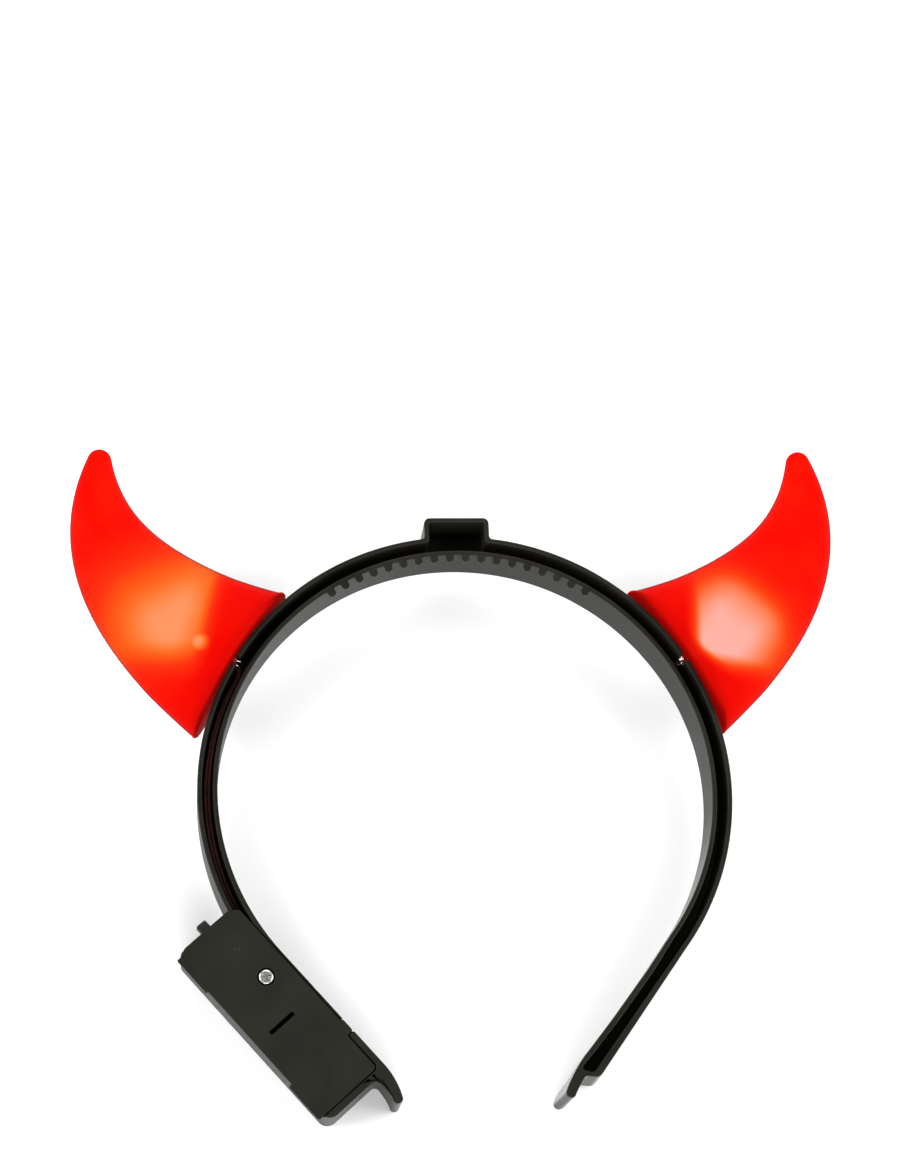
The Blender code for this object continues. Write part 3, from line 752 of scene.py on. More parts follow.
@dataclass(frozen=True)
class MouldedPlastic:
    """Satin moulded plastic: its colours, its gloss, how glossy its upright walls are, and its grain."""

    name: str
    dark: Triple
    light: Triple
    rough: Pair
    specular: float
    wall_coat: float = 0.0
    end_coat: float = 0.0
    coat_rough: float = 0.26
    coat_ior: float = 2.6
    grain: float = 3200.0
    flow: float = 60.0
    dust: float = 420.0
    dust_colour: Triple = (0.06, 0.06, 0.055)
    bump: float = 0.12
    bump_distance: float = 0.00003

    def material(self) -> bpy.types.Material:
        """Builds the material: colour and roughness follow the flow marks, and the grain is a fine bump.

        The upright walls carry a thin gloss, which the draft of the mould polished, more so towards the
        ends.

        Returns:
            The material.
        """
        material, shader = fresh_material(self.name)
        tree = material.node_tree
        marks = grain_node(tree, self.grain, self.flow, self.dust).outputs
        colour = ramp(tree, marks["Cloud"], [(0.35, self.dark), (0.70, self.light)])
        values = {
            "Base Color": mixed(tree, marks["Dust"], colour, self.dust_colour),
            "Roughness": mapped(tree, marks["Cloud"], (0.0, 1.0), self.rough),
            "Normal": bumped(tree, marks["Height"], self.bump, self.bump_distance),
            "Specular IOR Level": self.specular,
        }
        if self.end_coat > 0.0:
            amount = mapped(tree, marks["Leg"], (0.0, 1.0), (self.wall_coat, self.end_coat))
            values["Coat Weight"] = combined(tree, "MULTIPLY", amount, marks["Wall"])
            values["Coat Roughness"] = self.coat_rough
            values["Coat IOR"] = self.coat_ior
        fill(shader, values)
        return material


@dataclass(frozen=True)
class SoftEdge:
    """Soft straight edge of a glow: its outward direction in degrees, where the glow ends, and its fade."""

    direction: float
    end: float
    fade: float


@dataclass(frozen=True)
class Bead:
    """Bright head of a lamp behind the plastic: its place in the plane, radius, strength and core."""

    x: float
    y: float
    radius: float
    strength: float
    core: float = 0.15


@dataclass(frozen=True)
class Glow:
    """Where a lamp shows through a horn: whatever lies inside all of its soft edges, in the band's plane.

    The power bends the fade. The tints run from the faintest to the brightest glow.
    """

    edges: tuple[SoftEdge, ...]
    power: float
    tints: tuple[tuple[float, Triple], ...]
    bead: Bead | None = None
    mottle: Pair = (0.93, 1.07)


LEFT_GLOW = Glow(
    edges=(
        SoftEdge(-12.9, -0.0722, 0.0087),
        SoftEdge(-92.8, -0.0195, 0.0179),
        SoftEdge(-147.9, 0.0820, 0.0361),
        SoftEdge(118.2, 0.1216, 0.0432),
        SoftEdge(-12.0, -0.0543, 0.0323),
    ),
    power=2.5,
    tints=(
        (0.12, (0.945, 0.018, 0.003)),
        (0.27, (0.950, 0.037, 0.005)),
        (0.45, (0.955, 0.084, 0.007)),
        (0.60, (0.960, 0.128, 0.012)),
        (0.75, (0.965, 0.182, 0.027)),
        (0.88, (0.970, 0.248, 0.067)),
        (1.00, (0.975, 0.320, 0.130)),
    ),
    bead=Bead(-0.0725, 0.0395, 0.0043, 0.97),
)
RIGHT_GLOW = Glow(
    edges=(
        SoftEdge(177.9, -0.0580, 0.0067),
        SoftEdge(-131.4, -0.0667, 0.0055),
        SoftEdge(-96.0, -0.0335, 0.0098),
        SoftEdge(-38.4, 0.0627, 0.0266),
        SoftEdge(47.0, 0.1142, 0.0239),
        SoftEdge(51.6, 0.1246, 0.0450),
        SoftEdge(142.6, -0.0020, 0.0265),
    ),
    power=2.5,
    tints=(
        (0.12, (0.945, 0.018, 0.003)),
        (0.30, (0.950, 0.050, 0.005)),
        (0.46, (0.955, 0.109, 0.020)),
        (0.60, (0.960, 0.184, 0.064)),
        (0.75, (0.960, 0.266, 0.137)),
        (0.90, (0.955, 0.375, 0.268)),
        (1.00, (0.945, 0.460, 0.390)),
    ),
)


@dataclass(frozen=True)
class Tint:
    """Painted shade towards a horn's base: its colour, where it starts and is full, and how strong it gets.
    """

    colour: Triple
    start: float
    full: float
    strength: float


@dataclass(frozen=True)
class LitRedPlastic:
    """Translucent red plastic lit from inside: glow about the lamp, deeper red painted shade at outline and
    base.

    The shade strip is how far the deep red painted shade reaches from the base, and the darker painted
    shade reaches its share of that. The rim is where the outline's red painted shade comes in, by how far a
    face turns away, and clear is how far from the base it does.
    """

    name: str
    side: Side
    glow: Glow
    shade_strip: float
    red: Triple = (0.920, 0.0028, 0.0002)
    warm: Triple = (0.930, 0.0080, 0.0006)
    # Painted shade: the red darkens towards the base over a wide reach.
    low: Tint = Tint((0.780, 0.0010, 0.0002), 0.016, 0.002, 0.85)
    # Painted shade: deep red near the base, out to the shade strip, then the darker shade at its share.
    deep: Triple = (0.42, 0.0015, 0.0010)
    deep_shade_full: float = 0.0004
    deep_shade_strength: float = 0.60
    shade: Triple = (0.120, 0.0006, 0.0005)
    shade_reach: float = 0.35
    shade_strength: float = 0.85
    # Painted shade at the outline: its red, the Layer Weight range where it comes in, its blend and
    # strength.
    outline: Triple = (0.17, 0.0060, 0.0050)
    rim: Pair = (0.50, 0.72)
    outline_shade_blend: float = 0.30
    outline_shade_strength: float = 0.92
    clear: Pair = (0.0010, 0.0035)
    base_dark: Triple = (0.050, 0.0005, 0.0003)
    base_light: Triple = (0.070, 0.0008, 0.0004)
    rough: Pair = (0.40, 0.55)
    specular: float = 0.004
    cloud: float = 75.0
    grain: float = 2400.0
    bump: float = 0.06
    bump_distance: float = 0.00003
    base_reach: float = 0.0731
    plan_weight: float = 2.5
    height_weight: float = 0.5

    def material(self) -> bpy.types.Material:
        """Builds the material.

        The glow is a ramp on the mask of its soft edges, in the band's plane. The outline's red painted
        shade comes in by Layer Weight, and the painted shade of deep red and darker red by the distance
        from the curved base.

        Returns:
            The material.
        """
        material, shader = fresh_material(self.name)
        tree = material.node_tree
        place = band_coordinates(tree)
        cloud = noise(tree, place, self.cloud, detail=3.0)
        away, near = self._base_distances(tree, place)
        colour = ramp(tree, cloud, [(0.38, self.red), (0.68, self.warm)])
        # Painted shade: the red darkens towards the base.
        colour = self._base_shaded(tree, away, colour, self.low)
        colour = self._add_glow(tree, place, cloud, colour)
        # Painted shade near the base: the deep red, then the darker shade.
        deep = Tint(self.deep, self.shade_strip, self.deep_shade_full, self.deep_shade_strength)
        shade = Tint(self.shade, self.shade_strip * self.shade_reach, 0.0, self.shade_strength)
        colour = self._base_shaded(tree, near, colour, deep)
        colour = self._base_shaded(tree, near, colour, shade)
        # Painted shade at the outline, by Layer Weight, kept clear of the base.
        facing = fill(tree.nodes.new("ShaderNodeLayerWeight"), {"Blend": self.outline_shade_blend})
        edge = mapped(tree, facing.outputs["Facing"], self.rim, (0.0, self.outline_shade_strength))
        edge = combined(tree, "MULTIPLY", edge, mapped(tree, away, self.clear))
        values = {
            "Emission Color": mixed(tree, edge, colour, self.outline),
            "Emission Strength": 1.0,
            "Base Color": ramp(tree, cloud, [(0.3, self.base_dark), (0.7, self.base_light)]),
            "Specular IOR Level": self.specular,
            "Roughness": mapped(tree, cloud, (0.0, 1.0), self.rough),
            "Normal": bumped(tree, noise(tree, place, self.grain), self.bump, self.bump_distance),
        }
        fill(shader, values)
        return material

    def _add_glow(self, tree: Tree, place: Socket, cloud: Socket, colour: Socket) -> Socket:
        """Mixes the glow over a colour.

        An edge gives smooth_step((end - d) / fade), with d the place along its direction. The mask is the
        product of the edges, raised to the power, or the bead where that is brighter. The height is left
        out, so that both faces of the horn glow.

        Args:
            tree: node tree of the material.
            place: coordinates in the band's frame.
            cloud: noise that mottles the glow a little.
            colour: what lies under it.

        Returns:
            The mixed colour.
        """
        glow, mask = self.glow, None
        for edge in glow.edges:
            turn = math.radians(edge.direction)
            along = vector_math(tree, "DOT_PRODUCT", place, (math.cos(turn), math.sin(turn), 0.0))
            fade = mapped(tree, along, (edge.end, edge.end - edge.fade), smooth=True)
            mask = fade if mask is None else combined(tree, "MULTIPLY", mask, fade)
        mask = combined(tree, "POWER", mask, glow.power)
        if glow.bead:
            mask = combined(tree, "MAXIMUM", mask, self._bead(tree, place, glow.bead))
        mask = combined(tree, "MULTIPLY", mask, mapped(tree, cloud, (0.0, 1.0), glow.mottle))
        share = mapped(tree, mask, (0.0, glow.tints[0][0]))
        return mixed(tree, share, colour, ramp(tree, mask, glow.tints))

    @staticmethod
    def _bead(tree: Tree, place: Socket, bead: Bead) -> Socket:
        """Strength of a round bright spot, which fades out by smooth_step from its core to its radius."""
        away = plan_distance(tree, place, (bead.x, bead.y, 0.0))
        return mapped(tree, away, (bead.radius, bead.radius * bead.core), (0.0, bead.strength), smooth=True)

    def _base_distances(self, tree: Tree, place: Socket) -> tuple[Socket, Socket]:
        """How far a place lies from the curved base.

        In plan, d is the distance from the middle of the base's curve less its radius. Over the band's rim,
        with h the height above it, the second distance is the length of (plan weight d, height weight h).

        Args:
            tree: node tree of the material.
            place: coordinates in the band's frame.

        Returns:
            The distance in plan, and the one that takes the height in.
        """
        away = self.base_reach - RING.saddle
        middle = ring_points(away, np.array(self.side.value * RING.horn))
        middle = (float(middle[0]), float(middle[1]), 0.0)
        over = combined(tree, "SUBTRACT", plan_distance(tree, place, middle), RING.saddle)
        plan = combined(tree, "MAXIMUM", over, 0.0)
        parts = fill(tree.nodes.new("ShaderNodeSeparateXYZ"), {"Vector": place})
        height = combined(tree, "SUBTRACT", parts.outputs["Z"], RING.rim)
        height = combined(tree, "MAXIMUM", height, 0.0)
        weighed = {
            "X": combined(tree, "MULTIPLY", plan, self.plan_weight),
            "Y": combined(tree, "MULTIPLY", height, self.height_weight),
        }
        both = fill(tree.nodes.new("ShaderNodeCombineXYZ"), weighed).outputs["Vector"]
        return plan, vector_math(tree, "LENGTH", both)

    @staticmethod
    def _base_shaded(tree: Tree, distance: Socket, colour: Socket, tint: Tint) -> Socket:
        """Colour with a painted shade mixed over it, by smooth_step of a distance from its start to its
        full.
        """
        share = mapped(tree, distance, (tint.start, tint.full), (0.0, tint.strength), smooth=True)
        return mixed(tree, share, colour, tint.colour)


@dataclass(frozen=True)
class TurnedSteel:
    """Bright plated steel with fine turning marks about the screw's own axis."""

    name: str
    centre: Triple
    dull: Triple = (0.363, 0.3575, 0.341)
    bright: Triple = (0.66, 0.65, 0.62)
    rings: float = 1500.0
    ring_waver: float = 1.5
    spots: float = 900.0
    rough: Pair = (0.18, 0.42)

    def material(self) -> bpy.types.Material:
        """Builds the material: spots of dull and bright plating, and a bump that follows the turning rings.

        Returns:
            The material.
        """
        material, shader = fresh_material(self.name)
        tree = material.node_tree
        values = {"Vector": object_place(tree), "Location": tuple(-c for c in self.centre)}
        place = fill(tree.nodes.new("ShaderNodeMapping"), values).outputs["Vector"]
        rings = tree.nodes.new("ShaderNodeTexWave")
        rings.wave_type = "RINGS"
        rings.rings_direction = "Z"
        fill(rings, {"Vector": place, "Scale": self.rings, "Distortion": self.ring_waver})
        spots = noise(tree, place, self.spots)
        values = {
            "Base Color": ramp(tree, spots, [(0.3, self.dull), (0.6, self.bright)]),
            "Roughness": mapped(tree, spots, (0.0, 1.0), self.rough),
            "Normal": bumped(tree, rings.outputs["Fac"], 0.15, 0.00002),
            "Metallic": 1.0,
        }
        fill(shader, values)
        return material


@dataclass(frozen=True)
class LampResin:
    """Milky clear resin of a lamp, glowing."""

    name: str
    dim: Triple = (0.70, 0.434, 0.364)
    bright: Triple = (1.0, 0.62, 0.52)
    cloud: float = 320.0
    strength: float = 1.5

    def material(self) -> bpy.types.Material:
        """Builds the material: a cloudy glow with a smooth, glossy skin.

        Returns:
            The material.
        """
        material, shader = fresh_material(self.name)
        tree = material.node_tree
        cloud = noise(tree, object_place(tree), self.cloud)
        tint = ramp(tree, cloud, [(0.3, self.dim), (0.7, self.bright)])
        values = {"Base Color": tint, "Emission Color": tint, "Emission Strength": self.strength}
        fill(shader, {**values, "Roughness": 0.15})
        return material


@dataclass(frozen=True)
class PlatedWire:
    """Tinned wire, bright with a few duller stretches."""

    name: str
    dull: Triple = (0.42, 0.38, 0.34)
    bright: Triple = (0.80, 0.78, 0.74)
    cloud: float = 1400.0
    rough: Pair = (0.15, 0.40)

    def material(self) -> bpy.types.Material:
        """Builds the material: colour and roughness follow a fine noise along the wire.

        Returns:
            The material.
        """
        material, shader = fresh_material(self.name)
        tree = material.node_tree
        cloud = noise(tree, object_place(tree), self.cloud)
        values = {
            "Base Color": ramp(tree, cloud, [(0.35, self.dull), (0.60, self.bright)]),
            "Roughness": mapped(tree, cloud, (0.0, 1.0), self.rough),
            "Metallic": 1.0,
        }
        fill(shader, values)
        return material


@dataclass(frozen=True)
class WireSleeve:
    """Dark red insulation, mottled, with a soft sheen."""

    name: str
    dark: Triple = (0.024, 0.0040, 0.0030)
    light: Triple = (0.055, 0.0085, 0.0065)
    grain: float = 2600.0
    flow: float = 260.0
    dust: float = 700.0
    rough: float = 0.42

    def material(self) -> bpy.types.Material:
        """Builds the material: mottled dark red with a fine bump.

        Returns:
            The material.
        """
        material, shader = fresh_material(self.name)
        tree = material.node_tree
        marks = grain_node(tree, self.grain, self.flow, self.dust).outputs
        values = {
            "Base Color": ramp(tree, marks["Cloud"], [(0.35, self.dark), (0.65, self.light)]),
            "Normal": bumped(tree, marks["Height"], 0.1, 0.00002),
            "Roughness": self.rough,
        }
        fill(shader, values)
        return material


# The black moulding


@dataclass(frozen=True)
class Leg:
    """One straight leg of the band: its frame, and the tongue at its end."""

    side: Side
    bend: float
    tongue_end: float
    flare_radius: float
    inner: float = RING.inside
    flare_start: float = 0.040
    thickness: float = 0.0034
    taper: float = 0.0007

    @property
    def turn(self) -> float:
        """Angle from the top at which the ring turns into this leg."""
        return self.side.value * (math.pi / 2 + self.bend)

    def points(self, rows: Array) -> Array:
        """Points of the ring's plane: x = sign (out cos b - along sin b), y = -out sin b - along cos b.

        Args:
            rows: array whose last axis is (along, out), with b the bend.

        Returns:
            Array whose last axis is (x, y).
        """
        rows = np.asarray(rows, float)
        along, out = rows[..., 0], rows[..., 1]
        cosine, sine = math.cos(self.bend), math.sin(self.bend)
        x = self.side.value * (out * cosine - along * sine)
        return np.stack([x, -out * sine - along * cosine], axis=-1)

    def rows(self, points: Array) -> Array:
        """The other way round: along = -sign x sin b - y cos b, out = sign x cos b - y sin b.

        Args:
            points: array whose last axis is (x, y).

        Returns:
            Array whose last axis is (along, out).
        """
        cosine, sine = math.cos(self.bend), math.sin(self.bend)
        x, y = self.side.value * points[..., 0], points[..., 1]
        return np.stack([-x * sine - y * cosine, x * cosine - y * sine], axis=-1)

    def corners(self, rows: Sequence[Triple]) -> list[Triple]:
        """Corners (x, y, rounding) from rows (along, out, rounding)."""
        table = np.array(rows, float)
        return [(*place, r) for place, r in zip(self.points(table[:, :2]), table[:, 2])]

    def path(self, *rows: Triple) -> Array:
        """Rounded polyline of the ring's plane through rows (along, out, rounding)."""
        return rounded(self.corners(rows))

    def inner_face(self, along: Array | float) -> Array:
        """Inner face of the tongue: straight, then on an arc, (along - start)^2 / (2 radius)."""
        return self.inner + np.maximum(0.0, along - self.flare_start) ** 2 / (2 * self.flare_radius)

    def outer_face(self, along: Array | float) -> Array:
        """Outer face of the tongue, which gets thinner towards its end."""
        part = (along - self.flare_start) / (self.tongue_end - self.flare_start)
        return self.inner_face(along) + self.thickness - self.taper * part

    def on_outer(self, along: float, rounding: float = 0.0) -> Triple:
        """Row (along, out, rounding) on the tongue's outer face."""
        return along, float(self.outer_face(along)), rounding

    def on_inner(self, along: float, rounding: float = 0.0) -> Triple:
        """Row (along, out, rounding) on the tongue's inner face."""
        return along, float(self.inner_face(along)), rounding

    def tongue(self, root: float, rounding: float = 0.0012) -> Array:
        """Polyline round the tongue from its root on the outer face to the start of the flare.

        Args:
            root: place along the leg where it starts.
            rounding: radius of the corners at its end.

        Returns:
            Array (n, 2).
        """
        end = self.tongue_end
        outward = np.linspace(root, end - 2 * rounding, 10)
        homeward = np.linspace(end - 2 * rounding, self.flare_start, 16)
        rows = [self.on_outer(along) for along in outward]
        rows.append((end - rounding / 2, float(self.outer_face(end)), rounding))
        rows.append(self.on_inner(end, rounding))
        rows += [self.on_inner(along) for along in homeward]
        return self.path(*rows)


LEFT_LEG = Leg(Side.LEFT, math.radians(41.0), 0.0505, 0.021)
RIGHT_LEG = Leg(Side.RIGHT, math.radians(38.0), 0.0519, 0.040)
# Where the lid's screw stands, as (along, out) in the left leg's frame
SCREW_PLACE = (0.0022, 0.0748)


@dataclass
class Walls:
    """The wall of the moulding as matched rows: outer outline, channel outline, and height of the top."""

    outer: list[Array] = field(default_factory=list)
    inner: list[Array] = field(default_factory=list)
    top: list[Array] = field(default_factory=list)

    def add(self, outer: Array, inner: Array, count: int, top: float | Array) -> None:
        """Adds one stretch, with both outlines cut into the same number of points.

        Args:
            outer: polyline of the outer outline.
            inner: polyline of the channel's outline.
            count: number of points.
            top: height of the wall's top, for the stretch or for each point.
        """
        self.outer.append(spaced(outer, count))
        self.inner.append(spaced(inner, count))
        self.top.append(np.broadcast_to(top, (count,)).astype(float))


@dataclass
class RightLeg:
    """Outlines of the right leg. The tables hold rows (along, out, rounding)."""

    inside: tuple[Triple, ...] = (
        (0.0, 0.0673, 0.0),
        (0.011, 0.0677, 0.01),
        (0.027, 0.0677, 0.01),
        (0.038, 0.0674, 0.0),
        (0.040, 0.0673, 0.0),
    )
    channel_inside: tuple[Triple, ...] = (
        (0.0, 0.0686, 0.0),
        (0.011, 0.0693, 0.01),
        (0.027, 0.0693, 0.01),
        (0.038, 0.0689, 0.0),
        (0.0415, 0.06865, 0.0),
    )
    channel_end: tuple[Triple, ...] = (
        (0.0415, 0.06865, 0.0),
        (0.0437, 0.0686, 0.0007),
        (0.0431, 0.0703, 0.0),
    )
    channel_corner: tuple[Triple, ...] = (
        (0.0431, 0.0703, 0.0),
        (0.0424, 0.0719, 0.0013),
        (0.0360, 0.07184, 0.0),
    )
    channel_outside: tuple[Triple, ...] = ((0.0360, 0.07184, 0.0), (0.0, 0.0715, 0.0))
    outside: tuple[Triple, ...] = ((0.0360, 0.07373, 0.0), (0.0, 0.0728, 0.0))
    tongue_root: float = 0.0462
    wall_foot: float = 0.0445
    wall_corner: Triple = (0.0426, 0.0739, 0.0021)

    def add_to(self, walls: Walls, top: float) -> None:
        """Adds the inner face of the leg, its tongue, its end wall and its outer face.

        Args:
            walls: the outlines so far.
            top: height of the rim.
        """
        leg = RIGHT_LEG
        walls.add(leg.path(*self.inside), leg.path(*self.channel_inside), 90, top)
        walls.add(leg.tongue(self.tongue_root)[::-1], leg.path(*self.channel_end), 90, top)
        root, foot = leg.on_outer(self.tongue_root), leg.on_outer(self.wall_foot, 0.0006)
        end_wall = leg.path(root, foot, self.wall_corner, self.outside[0])
        walls.add(end_wall, leg.path(*self.channel_corner), 60, top)
        walls.add(leg.path(*self.outside), leg.path(*self.channel_outside), 60, top)


@dataclass
class BatteryCase:
    """Outlines of the battery case and the left tongue, in the left leg's frame.

    The walls are lower wherever the lid lies on them.
    """

    top: float = -0.0177
    shoulder: float = -0.0137
    bottom: float = 0.0385
    end: float = 0.0415
    out: float = 0.0882
    cavity_top: float = -0.0164
    cavity_bottom: float = 0.0396
    cavity_out: float = 0.0869
    cavity_corner: float = 0.0850
    cavity_inside: float = 0.0718
    cavity_bend: float = 0.0394
    cavity_end: float = 0.0370
    bend_radius: float = 0.003
    tongue_root: float = 0.0460
    seat: float = 0.0690
    under_lid: float = 0.0130
    switch_window: Pair = (0.0747, 0.0798)
    window_depth: float = 0.0033
    window_fade: float = 0.00012
    snap: Pair = (0.0235, 0.0283)
    snap_depth: float = 0.0003
    upper_seat: float = 0.0678
    meet: float = -0.0107

    def add_to(self, walls: Walls, meets: Pair, rim: float) -> None:
        """Adds the case's wall from the ring round to the tongue, the tongue, and the wall inside the lid.

        Args:
            walls: the outlines so far.
            meets: angles from the top at which the ring and its channel run into the case.
            rim: height of the rim.
        """
        self._top_wall(walls, meets)
        self._outer_wall(walls, rim)
        self._inner_wall(walls, rim)

    def _top_wall(self, walls: Walls, meets: Pair) -> None:
        """Wall at the case's top end, with the window that the switch looks out of.

        Args:
            walls: the outlines so far.
            meets: angles from the top at which the ring and its channel run into the case.
        """
        leg, count = LEFT_LEG, 220
        start = leg.rows(ring_points(RING.outside, np.array(meets[0])))
        inner_start = leg.rows(ring_points(RING.channel_out, np.array(meets[1])))
        outline = leg.path((*start, 0.0), (self.top, self.out, 0.002), (self.shoulder, self.out, 0.0))
        cavity = leg.path(
            (*inner_start, 0.0),
            (self.cavity_top, self.cavity_out, 0.0012),
            (self.shoulder, self.cavity_out, 0.0),
        )
        out = leg.rows(spaced(outline, count))[:, 1]
        low, high = self.switch_window
        window = smooth_step((out - low) / self.window_fade) * smooth_step((high - out) / self.window_fade)
        walls.add(outline, cavity, count, self.under_lid - self.window_depth * window)

    def _outer_wall(self, walls: Walls, rim: float) -> None:
        """Outer wall, its round corner, the end wall and the tongue.

        Args:
            walls: the outlines so far.
            rim: height of the rim.
        """
        leg, low = LEFT_LEG, self.under_lid
        outline = leg.path((self.shoulder, self.out, 0.0), (self.bottom, self.out, 0.0))
        cavity = leg.path((self.shoulder, self.cavity_out, 0.0), (self.bottom, self.cavity_out, 0.0))
        walls.add(outline, cavity, 90, low)
        angles = np.linspace(math.pi / 2, 0.0, 24)
        along = self.bottom + self.bend_radius * np.cos(angles)
        corner_out = self.out - self.bend_radius
        bend = leg.points(np.stack([along, corner_out + self.bend_radius * np.sin(angles)], axis=1))
        cavity = leg.path((self.bottom, self.cavity_out, 0.0), (self.cavity_bend, self.cavity_out, 0.0))
        walls.add(bend[:7], cavity, 10, low)
        corner = (self.cavity_bottom, self.cavity_corner, 0.0)
        inside = (self.cavity_bottom, self.cavity_inside, 0.0)
        cavity = leg.path((self.cavity_bottom, self.cavity_out, 0.0), corner)
        walls.add(bend[6:], cavity, 30, rim)
        end_wall = leg.path(
            (self.end, corner_out, 0.0), leg.on_outer(self.end, 0.0015), leg.on_outer(self.tongue_root)
        )
        walls.add(end_wall, leg.path(corner, inside), 80, rim)
        turn, end = (self.cavity_bottom, self.seat, 0.0014), (self.cavity_end, self.seat, 0.0)
        cavity = leg.path(inside, turn, end)
        walls.add(leg.tongue(self.tongue_root), cavity, 110, rim)

    def _inner_wall(self, walls: Walls, rim: float) -> None:
        """Wall on the head's side, up to the ring, lower where the lid's snap tab lies on it.

        Args:
            walls: the outlines so far.
            rim: height of the rim.
        """
        leg, inner = LEFT_LEG, RING.inside
        high, low = self.snap[1], self.snap[0]
        outline = leg.path((leg.flare_start, inner, 0.0), (high, inner, 0.0))
        seat = leg.path((self.cavity_end, self.seat, 0.0), (high, self.seat, 0.0))
        walls.add(outline, seat, 30, rim)
        outline = leg.path((high, inner, 0.0), (low, inner, 0.0))
        seat = leg.path((high, self.seat, 0.0), (low, self.seat, 0.0))
        walls.add(outline, seat, 20, self.under_lid - self.snap_depth)
        straight = leg.path((low, inner, 0.0), (0.0, inner, 0.0))
        turn = leg.turn - math.asin(self.meet / inner)
        outline = np.concatenate([straight, arc(inner, leg.turn, turn, 30)[1:]])
        seat = leg.path((low, self.upper_seat, 0.0), (self.meet, self.upper_seat, 0.0))
        walls.add(outline, seat, 60, rim)


